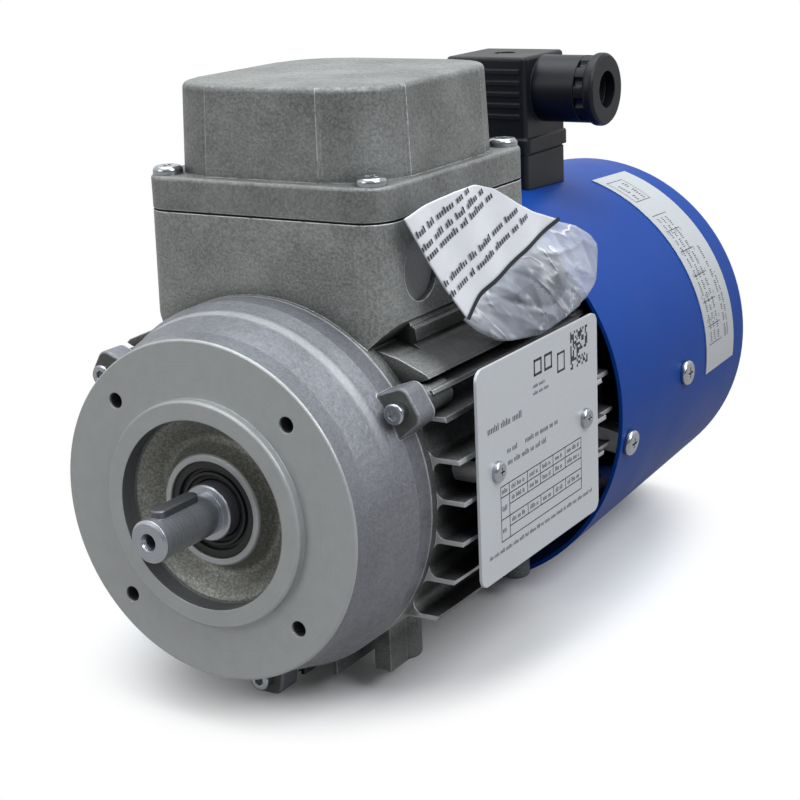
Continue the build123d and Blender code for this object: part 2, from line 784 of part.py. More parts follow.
# Rear shield, hidden inside the cowl
def make_rear_shield():
    hub_r = bearing_r + hub_wall
    hub_end = hub_floor + 3.0
    shield = turned(
        (0, hub_floor), (bearing_r + slip, hub_floor), (bearing_r + slip, rear_bearing_y - 1.5),
        (hub_r, rear_bearing_y - 1.5), (hub_r, rear_face + 2.5), (bore_r - register_wall, rear_face + 0.5),
        (bore_r - register_wall, rear_face - register_len), (bore_r - slip, rear_face - register_len),
        (bore_r - slip, rear_face), (frame_r, rear_face), (frame_r, rear_face + rear_shield_wall + 1.5),
        (frame_r - 3, rear_face + rear_shield_wall + 2.5), (hub_r + 4, rear_face + rear_shield_wall + 2.5),
        (hub_r + 1.5, hub_end - 3), (hub_r - 1, hub_end), (0, hub_end),
    )
    boss_in = frame_r - 6
    cowl_wall = cowl_in(front_cowl_screw_y)
    for angle in front_cowl_screw_angles:
        boss = sideways(front_cowl_screw_y, 0, boss_in, cowl_wall + 1, cowl_boss_d / 2)
        boss = boss & cowl_core(rear_face, rear_face + 12, slip)
        shield += turned_to(angle, boss)
        hole = sideways(front_cowl_screw_y, 0, cowl_wall - 9, cowl_wall + 1, cowl_screw_d / 2 + slip)
        shield -= turned_to(angle, hole)
    for angle in rear_screw_angles:
        hole = along(rear_screw_r, 0, rear_face - 1, rear_face + rear_shield_wall + 4, rear_screw_d / 2 + gap)
        shield -= turned_to(angle, hole)
        spot = along(rear_screw_r, 0, rear_face + rear_shield_wall, rear_face + rear_shield_wall + 4, 3.4)
        shield -= turned_to(angle, spot)
    for step in range(6):
        rib = Box(frame_r - hub_r - 2, 2.4, 4.5, align=(Align.MIN, Align.CENTER, Align.CENTER))
        rib = Pos(hub_r - 0.5, rear_face + rear_shield_wall + 4.0, 0) * Rot(90, 0, 0) * rib
        shield += turned_to(60 * step, rib)
    return shield


def make_rear_screws():
    seat = rear_face + rear_shield_wall
    screw = along(rear_screw_r, 0, frame_end - 8, seat, rear_screw_d / 2)
    head = along(rear_screw_r, 0, seat, seat + 2.4, 2.8)
    head = fillet(head.edges().sort_by(Axis.Y)[-1], 0.8)
    screw += head
    return [turned_to(angle, screw) for angle in rear_screw_angles]


def make_wave_washer():
    ring = Circle(bearing_r - 0.3) - Circle(bearing_r - 4.0)
    start = rear_bearing_end + (wave_washer_room - wave_washer_t) / 2
    return slab(ring, start, start + wave_washer_t)


# Places of the two rows of cowl screws, as (y, angle)
cowl_screw_places = [(front_cowl_screw_y, angle) for angle in front_cowl_screw_angles]
cowl_screw_places += [(rear_cowl_screw_y, angle) for angle in rear_cowl_screw_angles]


# Tapered sheet-metal cowl with a rounded rear edge, a slotted rear wall and side holes
def make_cowl():
    blank = turned((0, cowl_front_y), (cowl_d / 2, cowl_front_y), (cowl_rear_d / 2, cowl_rear_y), (0, cowl_rear_y))
    blank = fillet(blank.edges().sort_by(Axis.Y)[-1], cowl_edge_radius)
    hollow = cowl_core(cowl_front_y - 1, cowl_rear_y - cowl_t, 0)
    hollow = fillet(hollow.edges().sort_by(Axis.Y)[-1], cowl_edge_radius - cowl_t)
    cowl = blank - hollow
    slots = Sketch()
    for step in range(grille_rings):
        r = grille_first_r + grille_pitch * step
        slots += Circle(r + grille_slot) - Circle(r)
    for step in range(grille_spokes):
        spoke = Pos(cowl_rear_d / 4, 0) * Rectangle(cowl_rear_d / 2, grille_spoke_w)
        slots -= Rot(0, 0, 360 / grille_spokes * step + 90) * spoke
    cowl -= slab(slots, cowl_rear_y - cowl_t - 1, cowl_rear_y + 1)
    for y, angle in cowl_screw_places:
        cowl -= turned_to(angle, sideways(y, 0, cowl_in(y) - 2, cowl_r(y) + 2, cowl_screw_d / 2 + gap))
    cowl -= upright(0, plug_y, cowl_in(plug_y) - 5, cowl_r(plug_y) + 5, cable_hole_d / 2)
    return cowl


def make_cowl_screws():
    screw = pan_screw(cowl_head_d / 2, cowl_head_h, cowl_screw_d / 2, cowl_screw_len, 1.8)
    screws = []
    for y, angle in cowl_screw_places:
        seat = cowl_r(y - cowl_head_d / 2) + slip
        screws.append(turned_to(angle, Pos(seat, y, 0) * Rot(0, 90, 0) * screw))
    return screws


def make_strip():
    low, high = strip_angles
    corners = [(cowl_d * cos(radians(angle)), cowl_d * sin(radians(angle))) for angle in (low, (low + high) / 2, high)]
    end = strip_y + strip_len
    r0 = cowl_r(strip_y) + slip
    r1 = cowl_r(end) + slip
    band = turned((r0, strip_y), (r0 + strip_t, strip_y), (r1 + strip_t, end), (r1, end))
    return band & slab(Polygon((0, 0), *corners, align=None), strip_y - 1, end + 1)


# Fan carrier: ring inside the cowl with three arms and a hub plate
def make_fan_carrier():
    y0 = rear_cowl_screw_y - fan_ring_w / 2
    y1 = y0 + fan_ring_w
    wall = cowl_in(rear_cowl_screw_y)
    ring = cowl_core(y0, y1, slip) - cowl_core(y0 - 1, y1 + 1, fan_ring_t)
    core = cowl_core(y0, y1, slip)
    carrier = ring
    carrier += tube(fan_arm_y, fan_motor_y, fan_motor_d / 2 - 4)
    for angle in rear_cowl_screw_angles:
        arm = Pos(wall / 2, 0) * Rectangle(wall - 2, fan_arm_w)
        carrier += turned_to(angle, slab(arm, fan_arm_y, fan_motor_y))
        block = sideways(rear_cowl_screw_y, 0, wall - 7, wall + 1, cowl_boss_d / 2)
        carrier += turned_to(angle, block & core)
        hole = sideways(rear_cowl_screw_y, 0, wall - 8, wall + 1, cowl_screw_d / 2 + slip)
        carrier -= turned_to(angle, hole)
        carrier -= turned_to(angle, along(15, 0, fan_arm_y - 1, fan_motor_y + 1, 1.7))
    return carrier


def make_fan_motor():
    body = tube(fan_motor_y, fan_motor_end, fan_motor_d / 2)
    body = fillet(body.edges(), 2.0)
    body -= along(0, 0, fan_motor_y + 4, fan_motor_end + 1, fan_shaft_d / 2 + slip)
    for angle in rear_cowl_screw_angles:
        body -= turned_to(angle, along(15, 0, fan_motor_y - 1, fan_motor_y + 6, 1.5 + slip))
    return body


def make_fan_screws():
    screws = []
    for angle in rear_cowl_screw_angles:
        screw = along(15, 0, fan_arm_y, fan_motor_y + 5, 1.5)
        head = along(15, 0, fan_arm_y - 2, fan_arm_y, 2.8)
        screw += fillet(head.edges().sort_by(Axis.Y)[0], 0.7)
        screws.append(turned_to(angle, screw))
    return screws


def make_fan_shaft():
    end = fan_y + fan_hub_len + 1.5
    shaft = along(0, 0, fan_motor_y + 4 + gap, end, fan_shaft_d / 2)
    return chamfer(shaft.edges().sort_by(Axis.Y)[-1], 0.4)


# Axial impeller with twisted blades round a cup-shaped hub
def make_impeller():
    hub_r = fan_hub_d / 2
    end = fan_y + fan_hub_len
    hub = turned(
        (0, end), (hub_r - 3, end), (hub_r, end - 3), (hub_r, fan_y), (hub_r - 2, fan_y), (hub_r - 2, end - 3.5),
        (hub_r - 3.5, end - 2), (5.5, end - 2), (5.5, fan_y + 1), (0, fan_y + 1),
    )
    middle = fan_y + fan_hub_len / 2
    sections = []
    for r, angle in ((hub_r - 1.0, fan_root_angle), (fan_d / 2, fan_tip_angle)):
        place = Plane(origin=(r, middle, 0), x_dir=(0, 0, 1), z_dir=(1, 0, 0)).rotated((0, 0, angle))
        sections.append(place * Rectangle(fan_blade_chord * (0.55 + 0.45 * r * 2 / fan_d), fan_blade_t))
    blade = loft(sections)
    for step in range(fan_blades):
        hub += turned_to(360 / fan_blades * step, blade)
    hub -= along(0, 0, fan_y - 1, end + 1, fan_shaft_d / 2 + 0.02)
    return hub


def make_fan_clip():
    y0 = fan_y + fan_hub_len + 0.2
    return tube(y0, y0 + 0.8, fan_shaft_d / 2 + 2.2, fan_shaft_d / 2 + slip)


# Rating plate and its screws
def make_plate():
    middle_y = sum(plate_y) / 2
    middle_z = sum(plate_z) / 2
    blank = RectangleRounded(plate_y[1] - plate_y[0], plate_z[1] - plate_z[0], plate_corner)
    plane = Plane(origin=(plate_x, middle_y, middle_z), x_dir=(0, 1, 0), z_dir=(1, 0, 0))
    plate = extrude(plane * blank, amount=plate_t)
    for y in plate_screw_y:
        plate -= sideways(y, plate_screw_z, plate_x - 1, plate_x + 2, plate_screw_d / 2 + gap)
    return plate


def make_plate_screws():
    screw = pan_screw(plate_head_d / 2, plate_head_h, plate_screw_d / 2, 6.0, 1.2)
    return [Pos(plate_x + plate_t, y, plate_screw_z) * Rot(0, 90, 0) * screw for y in plate_screw_y]


# Fan connector: socket on the cowl, gasket, angled plug, gland and screw
def rounded_block(w, length, z0, z1, corner):
    blank = Plane.XY.offset(z0) * Pos(0, plug_y) * RectangleRounded(w, length, corner)
    return extrude(blank, amount=z1 - z0)


def plug_socket(z0, z1):
    return rounded_block(plug_socket_w, plug_socket_w, z0, z1, plug_corner)


def make_plug_base():
    base = rounded_block(plug_base_w, plug_base_len, cowl_in(plug_y) - 4, plug_base_top, plug_corner)
    y0 = plug_y - plug_base_len
    y1 = plug_y + plug_base_len
    base -= turned((0, y0), (cowl_r(y0) + slip, y0), (cowl_r(y1) + slip, y1), (0, y1))
    base -= plug_socket(plug_base_top - plug_floor_t, plug_base_top + 1)
    base -= upright(0, plug_y, plug_base_top - 7, plug_base_top, plug_screw_d / 2 + slip)
    return base


def make_plug_gasket():
    z1 = plug_base_top + plug_gasket_t
    ring = rounded_block(plug_base_w - 0.8, plug_base_len - 0.8, plug_base_top, z1, plug_corner - 0.4)
    return ring - plug_socket(plug_base_top - 1, z1 + 1)


def make_plug_pins():
    z0 = plug_base_top - plug_floor_t
    pins = []
    for x, y, w, t in ((-6, 0, 0.9, 6.0), (6, 0, 0.9, 6.0), (0, 6.5, 6.0, 0.9), (0, -6.5, 6.0, 0.9)):
        blade = Box(w, t, 11.0, align=(Align.CENTER, Align.CENTER, Align.MIN))
        pins.append(Pos(x, plug_y + y, z0) * blade)
    return pins


def make_plug_housing():
    z0 = plug_base_top + plug_gasket_t
    skirt = 2 * plug_skirt_out
    body = rounded_block(plug_body_w, plug_body_len, z0, plug_body_top, plug_corner)
    body = fillet(body.edges().group_by(Axis.Z)[-1], 1.2)
    rim = rounded_block(plug_body_w + skirt, plug_body_len + skirt, z0, z0 + plug_skirt_h, plug_corner + plug_skirt_out)
    body += fillet(rim.edges().group_by(Axis.Z)[-1], plug_skirt_out)
    body += sideways(plug_y, gland_z, 0, gland_barrel_end, gland_barrel_d / 2)
    rib = Box(plug_body_w - 4, plug_rib_h + 0.6, plug_rib_t)
    for step in range(plug_rib_count):
        z = gland_z + plug_rib_pitch * ((plug_rib_count - 1) / 2 - step) - 0.6
        for side in (-1, 1):
            body += Pos(0, plug_y + side * (plug_body_len / 2 + plug_rib_h / 2 - 0.3), z) * rib
    inner_w = plug_body_w - 2 * plug_wall
    inner_len = plug_body_len - 2 * plug_wall
    body -= rounded_block(inner_w, inner_len, z0 - 1, plug_body_top - plug_wall, plug_corner)
    body -= sideways(plug_y, gland_z, 5, gland_barrel_end + 1, gland_throat_d / 2)
    body += upright(0, plug_y, z0 + 1, plug_body_top - plug_wall + 0.1, plug_screw_d / 2 + 1.7)
    body -= upright(0, plug_y, z0, plug_body_top + 1, plug_screw_d / 2 + gap)
    body -= upright(0, plug_y, plug_body_top - 2.2, plug_body_top + 1, plug_screw_d + 0.4)
    return body


def make_plug_screw():
    screw = upright(0, plug_y, plug_base_top - 6, plug_body_top - 2.2, plug_screw_d / 2)
    screw += upright(0, plug_y, plug_body_top - 2.2, plug_body_top - 0.4, plug_screw_d)
    screw -= Pos(0, plug_y, plug_body_top - 0.4) * Box(7, 0.9, 1.6)
    return screw


def make_gland_nut():
    start = gland_barrel_end + gap
    rim_start = gland_nut_end - gland_rim_w
    nut = sideways(plug_y, gland_z, start, gland_nut_end, gland_barrel_d / 2)
    rim = sideways(plug_y, gland_z, rim_start, gland_nut_end, gland_nut_d / 2)
    nut += fillet(rim.edges().filter_by(GeomType.CIRCLE), 1.4)
    flute = Pos(0, 0, gland_barrel_d / 2 + 0.9) * sideways(0, 0, start - 1, rim_start + 0.2, 1.9)
    for step in range(gland_flutes):
        nut -= Pos(0, plug_y, gland_z) * Rot(360 / gland_flutes * step, 0, 0) * flute
    nut -= sideways(plug_y, gland_z, start - 1, gland_nut_end - 3.0, gland_throat_d / 2 + 0.6)
    nut -= sideways(plug_y, gland_z, start - 1, gland_nut_end + 1, gland_bore_d / 2)
    return nut


def make_gland_seal():
    start = gland_barrel_end - 7
    seal = sideways(plug_y, gland_z, start, gland_nut_end - 3.0 - gap, gland_throat_d / 2 - gap)
    seal -= sideways(plug_y, gland_z, start - 1, gland_nut_end, gland_bore_d / 2)
    return seal


# Accessory bag and its header, laid against the box side, with a spare gland nut inside
def bag_plane():
    turn = radians(bag_turn)
    across_bag = (cos(turn), sin(turn), 0)
    out_of_bag = (sin(turn), -cos(turn), 0)
    return Plane(origin=(box_w / 2 + bag_gap, bag_y, 0), x_dir=across_bag, z_dir=out_of_bag)


def make_bag():
    outline = Polygon(bag_seam_high, bag_seam_low, *pouch_outline, align=None)
    outline = fillet(outline.vertices(), bag_corner)
    outer = extrude(bag_plane() * outline, amount=bag_thick / 2, both=True)
    inner = extrude(bag_plane() * offset(outline, amount=-bag_film), amount=bag_thick / 2 - bag_film, both=True)
    return outer - inner


def make_bag_header():
    seam = Vector(*bag_seam_high) - Vector(*bag_seam_low)
    step = Vector(-seam.Y, seam.X).normalized() * soft_gap
    outline = Polygon(Vector(*bag_seam_low) + step, Vector(*bag_seam_high) + step, *header_outline, align=None)
    plane = bag_plane().offset(header_shift)
    return extrude(plane * outline, amount=header_thick / 2, both=True)


def make_spare_gland():
    section = Circle(spare_gland_d / 2) - Circle(spare_gland_d / 2 - 3)
    return extrude(bag_plane() * Pos(*spare_gland_place) * section, amount=spare_gland_len / 2, both=True)


save("front_shield", make_front_shield())
save("stator_frame", make_frame())
save("shield_screws", Compound(make_shield_screws()))
save("terminal_box_cover", make_box_cover())
save("terminal_box_gasket", make_box_gasket())
save("cover_screws", Compound(make_cover_screws()))
save("terminal_board", make_terminal_board())
save("terminal_studs", Compound(make_terminal_studs()))
save("terminal_nuts", Compound(make_terminal_nuts()))
save("terminal_links", Compound(make_terminal_links()))
save("board_screws", Compound(make_board_screws()))
save("earth_screw", make_earth_screw())
save("entry_disc", make_entry_disc())
save("stator_core", make_stator_core())
save("stator_winding", make_winding())
save("rotor_shaft", make_shaft())
save("shaft_key", make_key())
for end, bearing_y in (("front", front_bearing_y), ("rear", rear_bearing_y)):
    outer_ring, inner_ring, balls = bearing_parts(bearing_y)
    save(f"{end}_bearing_outer", outer_ring)
    save(f"{end}_bearing_inner", inner_ring)
    save(f"{end}_bearing_balls", Compound(balls))
save("shaft_seal", make_seal())
save("rotor_core", make_rotor_core())
save("rotor_cage", make_rotor_cage())
save("rear_shield", make_rear_shield())
save("rear_screws", Compound(make_rear_screws()))
save("wave_washer", make_wave_washer())
save("fan_cowl", make_cowl())
save("cowl_screws", Compound(make_cowl_screws()))
save("cowl_strip", make_strip())
save("fan_carrier", make_fan_carrier())
save("fan_motor", make_fan_motor())
save("fan_motor_screws", Compound(make_fan_screws()))
save("fan_shaft", make_fan_shaft())
save("fan_impeller", make_impeller())
save("fan_clip", make_fan_clip())
save("rating_plate", make_plate())
save("plate_screws", Compound(make_plate_screws()))
save("plug_base", make_plug_base())
save("plug_gasket", make_plug_gasket())
save("plug_pins", Compound(make_plug_pins()))
save("plug_housing", make_plug_housing())
save("plug_screw", make_plug_screw())
save("gland_nut", make_gland_nut())
save("gland_seal", make_gland_seal())
save("accessory_bag", make_bag())
save("bag_header", make_bag_header())
save("spare_gland", make_spare_gland())
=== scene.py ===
"""Looks of the small flange motor: finishes for its solids, the printed matter and the accessory bag."""
import math

import bmesh
import bpy
import numpy as np
from bpy.props import FloatProperty, FloatVectorProperty, IntProperty, PointerProperty
from mathutils import Matrix, Vector


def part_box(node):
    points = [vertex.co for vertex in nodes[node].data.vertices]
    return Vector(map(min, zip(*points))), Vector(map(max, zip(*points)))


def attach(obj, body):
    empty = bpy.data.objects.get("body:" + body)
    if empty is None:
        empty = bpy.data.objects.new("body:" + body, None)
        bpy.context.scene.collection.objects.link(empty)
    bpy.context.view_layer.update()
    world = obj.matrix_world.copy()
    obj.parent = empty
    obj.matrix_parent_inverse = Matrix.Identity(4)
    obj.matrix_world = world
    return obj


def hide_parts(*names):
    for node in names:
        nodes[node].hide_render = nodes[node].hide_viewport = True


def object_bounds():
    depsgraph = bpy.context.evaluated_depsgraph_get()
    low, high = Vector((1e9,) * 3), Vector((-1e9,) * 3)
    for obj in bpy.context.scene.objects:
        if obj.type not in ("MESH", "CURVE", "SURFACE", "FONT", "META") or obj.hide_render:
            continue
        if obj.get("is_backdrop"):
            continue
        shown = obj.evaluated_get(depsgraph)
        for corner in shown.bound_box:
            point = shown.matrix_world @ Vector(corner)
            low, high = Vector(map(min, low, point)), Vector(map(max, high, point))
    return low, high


bl_info = {
    "name": "Flange motor finishes",
    "version": (1, 0, 0),
    "blender": (4, 5, 0),
    "location": "View3D > Sidebar > Motor",
    "description": "Dresses the solids of a small flange motor and adds its prints and accessory bag",
    "category": "Object",
}

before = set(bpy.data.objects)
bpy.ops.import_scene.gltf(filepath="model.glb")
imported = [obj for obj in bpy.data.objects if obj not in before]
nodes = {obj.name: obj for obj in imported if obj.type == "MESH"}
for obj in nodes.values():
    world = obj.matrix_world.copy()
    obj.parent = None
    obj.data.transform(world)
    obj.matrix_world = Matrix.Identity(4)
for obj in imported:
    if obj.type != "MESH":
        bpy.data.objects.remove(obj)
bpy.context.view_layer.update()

MM = 0.001
SEED = 63

# Shades that aren't settings, as linear colours
# Near-black of the painted shade in corners and hollows
CORNER_SHADE = (0.006, 0.006, 0.007, 1)
# Painted highlight, partly wear, on the edges of castings, and painted highlight on the edges of plated metal
EDGE_WEAR_AND_HIGHLIGHT = (0.80, 0.81, 0.83, 1)
PLATED_EDGE_HIGHLIGHT = (0.85, 0.86, 0.87, 1)
DARK_SAND = (0.17, 0.175, 0.15, 1)
PALE_SAND = (0.39, 0.40, 0.35, 1)
SHIELD_HIGHLIGHT = (0.62, 0.64, 0.66, 1)
RECESS_WALL_SHADE = (0.12, 0.123, 0.13, 1)
ROOF_SHADE = (0.012, 0.012, 0.013, 1)
FIN_SHADE = (0.012, 0.012, 0.014, 1)
FIN_TIP_HIGHLIGHT = (0.62, 0.63, 0.65, 1)
CREASE_HIGHLIGHT = (0.90, 0.92, 0.97, 1)
DISC_GREY = (0.25, 0.25, 0.26)

# Zones of the shield in millimetres: radii about the shaft, depths along +Y and heights; pairs are soft steps
FACE_RADIUS = 24.6
RECESS_RADIUS = 24.7
WALL_RADIUS = 25.4
SEAL_RING_DEPTH, SEAL_RING_RADIUS = 2.9, 15.6
# Neck band and rim edge that carry a painted highlight; the band's heights keep it to the upper side
BAND_START, BAND_END = (13.2, 14.6), (17.2, 15.6)
BAND_HEIGHT = (10.0, 36.0)
BAND_RADIUS = 44.0
RIM_EDGE = (26.8, 27.1)
LUG_RADIUS = 50.3

# Zones of the frame in millimetres that take painted shade and highlight: distances from the middle plane,
# depths and heights
ROOF_SIDE, ROOF_TOP, ROOF_START = (37.2, 38.6), (44.0, 41.0), (30.0, 44.0)
FIN_SIDE = (42.0, 44.0)
FIN_TIP_SIDE = 54.0
BELLY = (-38.0, -44.0)

# Levels between which most values of a noise lie
MIDDLE = (0.3, 0.7)


def srgb(red, green, blue):
    """Linear colour of an 8-bit display colour."""
    levels = np.array([red, green, blue]) / 255
    linear = np.where(levels <= 0.04045, levels / 12.92, ((levels + 0.055) / 1.055) ** 2.4)
    return tuple(float(level) for level in linear)


def colour(name, description, red, green, blue):
    """A colour property whose default is given as an 8-bit display colour."""
    return FloatVectorProperty(
        name=name, description=description, subtype="COLOR", size=3, min=0, max=1,
        default=srgb(red, green, blue),
    )


def length(name, description, millimetres):
    """A length property whose default is given in millimetres."""
    return FloatProperty(
        name=name, description=description, unit="LENGTH", subtype="DISTANCE", default=millimetres * MM
    )


class CastingSettings(bpy.types.PropertyGroup):
    tone: colour("Casting", "Grey of the as-cast surfaces", 130, 132, 131)
    flange_tone: colour("Machined face", "Grey of the turned flange and spigot", 170, 173, 174)
    shield_tone: colour("Shield", "Grey of the smoother front shield", 118, 120, 126)
    lug_tone: colour("Lug face", "Dark grey of the spot-faced lugs", 84, 87, 84)
    grain: length("Grain", "Size of the casting's speckle", 0.7)
    edge: length("Edge", "Radius at which the edges catch the light", 0.5)


class CowlSettings(bpy.types.PropertyGroup):
    paint: colour("Paint", "Blue of the fan cowl", 5, 58, 138)
    roughness: FloatProperty(
        name="Roughness", description="Roughness of the paint", default=0.46, min=0, max=1
    )


class PlasticSettings(bpy.types.PropertyGroup):
    plug: colour("Connector", "Near-black of the connector and its gland", 14, 17, 24)
    rubber: colour("Rubber", "Black of the shaft seal and gaskets", 24, 25, 27)


class MetalSettings(bpy.types.PropertyGroup):
    zinc: colour("Zinc", "Plated screws", 170, 174, 178)
    shaft: colour("Shaft", "Ground steel of the shaft", 168, 171, 178)
    brass: colour("Brass", "Terminal parts", 196, 164, 92)
    copper: colour("Winding", "Enamelled copper wire", 150, 78, 44)
    core: colour("Laminations", "Stacked sheet steel", 92, 94, 97)


class PrintSettings(bpy.types.PropertyGroup):
    plate: colour("Plate", "Silvery ground of the rating plate", 196, 200, 205)
    strip: colour("Strip", "Silvery ground of the cowl strip", 180, 185, 189)
    ink: colour("Ink", "Printed marks", 30, 32, 38)
    lift: length("Lift", "Height of the ink over its ground", 0.03)


class BagSettings(bpy.types.PropertyGroup):
    film: colour("Film", "Clear film of the bag", 190, 196, 210)
    header: colour("Header", "White printed part of the bag", 230, 232, 238)
    thickness: length("Thickness", "Thickness of the printed header film", 0.25)
    folds: IntProperty(
        name="Folds", description="Number of creases in the film", default=46, min=1, max=80
    )


class StageSettings(bpy.types.PropertyGroup):
    camera: FloatVectorProperty(
        name="Camera", description="Camera position", subtype="XYZ", unit="LENGTH",
        default=(0.2673, -0.3330, 0.1505),
    )
    azimuth: FloatProperty(
        name="Azimuth", description="Turn of the view from +Y", subtype="ANGLE", default=math.radians(32.018)
    )
    elevation: FloatProperty(
        name="Elevation", description="Height of the view", subtype="ANGLE", default=math.radians(16.176)
    )
    roll: FloatProperty(
        name="Roll", description="Tilt of the picture", subtype="ANGLE", default=math.radians(-2.482)
    )
    lens: FloatProperty(name="Lens", description="Focal length in millimetres", default=80.261)
    floor: colour("Floor", "Pale floor", 246, 247, 249)


SETTINGS = {
    "motor_castings": CastingSettings,
    "motor_cowl": CowlSettings,
    "motor_plastics": PlasticSettings,
    "motor_metals": MetalSettings,
    "motor_prints": PrintSettings,
    "motor_bag": BagSettings,
    "motor_stage": StageSettings,
}


def rgba(value):
    """Colour with a full alpha."""
    return (*value[:3], 1.0)


# Shader helpers
def set_inputs(tree, made, inputs):
    """Link each input that is another node's output socket, and set the others to their constants."""
    for key, value in dict(inputs).items():
        if isinstance(value, bpy.types.NodeSocket):
            tree.links.new(value, made.inputs[key])
        else:
            made.inputs[key].default_value = value


def add(tree, kind, inputs=(), **settings):
    """Add a shader node with its settings and inputs."""
    made = tree.nodes.new(kind)
    for key, value in settings.items():
        setattr(made, key, value)
    set_inputs(tree, made, inputs)
    return made


def maths(tree, operation, *values):
    """Output of a Math node on sockets or numbers."""
    return add(tree, "ShaderNodeMath", dict(enumerate(values)), operation=operation).outputs[0]


def times(tree, first, *others):
    """Product of two or more values."""
    for other in others:
        first = maths(tree, "MULTIPLY", first, other)
    return first


def smooth(tree, value, low, high, to_low=0.0, to_high=1.0):
    """Value mapped from the range low to high, clamped, with soft ends."""
    inputs = {"Value": value, "From Min": low, "From Max": high, "To Min": to_low, "To Max": to_high}
    return add(tree, "ShaderNodeMapRange", inputs, interpolation_type="SMOOTHSTEP").outputs[0]


def step(tree, value, span):
    """Soft step from 0 at the first length to 1 at the second, in millimetres."""
    return smooth(tree, value, span[0] * MM, span[1] * MM)


def above(tree, value, limit):
    """1 where the value is more than the limit, else 0."""
    return maths(tree, "GREATER_THAN", value, limit)


def below(tree, value, limit):
    """1 where the value is less than the limit, else 0."""
    return maths(tree, "LESS_THAN", value, limit)


def blend(tree, factor, first, second):
    """Colour mix of two colours or sockets."""
    inputs = {0: factor, 6: first, 7: second}
    return add(tree, "ShaderNodeMix", inputs, data_type="RGBA").outputs[2]


def noise(tree, vector, scale, detail=3.0, roughness=0.55, dimensions="3D"):
    """Value of a Noise texture; the scale counts features per metre."""
    key = "W" if dimensions == "1D" else "Vector"
    inputs = {key: vector, "Scale": scale, "Detail": detail, "Roughness": roughness}
    return add(tree, "ShaderNodeTexNoise", inputs, noise_dimensions=dimensions).outputs[0]


def object_place(tree):
    """Object coordinates."""
    return add(tree, "ShaderNodeTexCoord").outputs["Object"]


def parts(tree, vector):
    """The three parts of a vector."""
    return add(tree, "ShaderNodeSeparateXYZ", {0: vector}).outputs


def true_normal(tree):
    """Normal of the face itself."""
    return add(tree, "ShaderNodeNewGeometry").outputs["True Normal"]


def shaft_radius(tree, axes):
    """Distance from the shaft axis: the root of the squares of x and z added up."""
    squares = maths(tree, "ADD", times(tree, axes[0], axes[0]), times(tree, axes[2], axes[2]))
    return maths(tree, "SQRT", squares)


def scaled(tree, tone, level):
    """Colour times a level."""
    return add(tree, "ShaderNodeVectorMath", {0: tone, "Scale": level}, operation="SCALE").outputs[0]


def dot(tree, first, second):
    """Dot product of two vectors."""
    inputs = {0: first, 1: second}
    return add(tree, "ShaderNodeVectorMath", inputs, operation="DOT_PRODUCT").outputs["Value"]


def new_group(name, inputs, outputs):
    """Empty shader group with its input and output nodes; inputs are name: (socket type, default)."""
    tree = bpy.data.node_groups.new(name, "ShaderNodeTree")
    for key, (kind, default) in inputs.items():
        socket = tree.interface.new_socket(name=key, in_out="INPUT", socket_type="NodeSocket" + kind)
        socket.default_value = default
    for key, kind in outputs.items():
        tree.interface.new_socket(name=key, in_out="OUTPUT", socket_type="NodeSocket" + kind)
    return tree, tree.nodes.new("NodeGroupInput").outputs, tree.nodes.new("NodeGroupOutput")


def finish_group(tree, end, **outputs):
    """Link the group's outputs."""
    set_inputs(tree, end, outputs)
    return tree


def cast_group():
    """Cast skin: fine speckle and broad clouds on the tone, and painted shade that darkens the corners and
    hollows.
    """
    tree, given, end = new_group(
        "Cast skin",
        {"Tone": ("Color", (0.25, 0.25, 0.25, 1)), "Grain": ("Float", 900.0),
         "Contrast": ("Float", 0.35), "Corner shade": ("Float", 0.5)},
        {"Color": "Color", "Roughness": "Float", "Height": "Float", "Open": "Float"},
    )
    place = object_place(tree)
    speckle = noise(tree, place, given["Grain"], 4.0, 0.65)
    pits = noise(tree, place, times(tree, given["Grain"], 0.35), 2.0)
    clouds = noise(tree, place, 55.0, 3.0)
    shade = maths(tree, "ADD", times(tree, smooth(tree, speckle, *MIDDLE), 0.6),
                  times(tree, smooth(tree, clouds, *MIDDLE), 0.4))
    change = times(tree, maths(tree, "SUBTRACT", shade, 0.5), given["Contrast"])
    toned = scaled(tree, given["Tone"], maths(tree, "ADD", 1.0, change))
    # Painted shade: ambient occlusion blends the tone towards near-black in corners and hollows
    corner = add(tree, "ShaderNodeAmbientOcclusion", {"Distance": 11 * MM}, samples=8).outputs["AO"]
    painted_corner_shade = times(tree, smooth(tree, corner, 0.8, 0.28), given["Corner shade"])
    result = blend(tree, painted_corner_shade, toned, CORNER_SHADE)
    rough = smooth(tree, pits, *MIDDLE, 0.44, 0.62)
    height = maths(tree, "ADD", times(tree, speckle, 0.6), pits)
    outer = smooth(tree, corner, 0.45, 0.7)
    return finish_group(tree, end, Color=result, Roughness=rough, Height=height, Open=outer)


def turned_group():
    """Turned face: fine rings about the shaft axis, as a height and a slight change of tone."""
    tree, given, end = new_group(
        "Turned rings",
        {"Tone": ("Color", (0.4, 0.4, 0.4, 1)), "Pitch": ("Float", 2500.0), "Rough": ("Float", 0.39)},
        {"Color": "Color", "Roughness": "Float", "Height": "Float"},
    )
    place = object_place(tree)
    axes = parts(tree, place)
    travel = maths(tree, "ADD", shaft_radius(tree, axes), axes[1])
    rings = noise(tree, travel, given["Pitch"], 4.0, 0.7, "1D")
    marks = noise(tree, place, 240.0, 4.0, 0.7)
    level = maths(tree, "ADD", smooth(tree, rings, 0.25, 0.75, 0.93, 1.05),
                  smooth(tree, marks, 0.3, 0.75, 0.03, -0.04))
    rough = maths(tree, "ADD", given["Rough"], smooth(tree, rings, *MIDDLE, -0.05, 0.05))
    return finish_group(tree, end, Color=scaled(tree, given["Tone"], level), Roughness=rough, Height=rings)


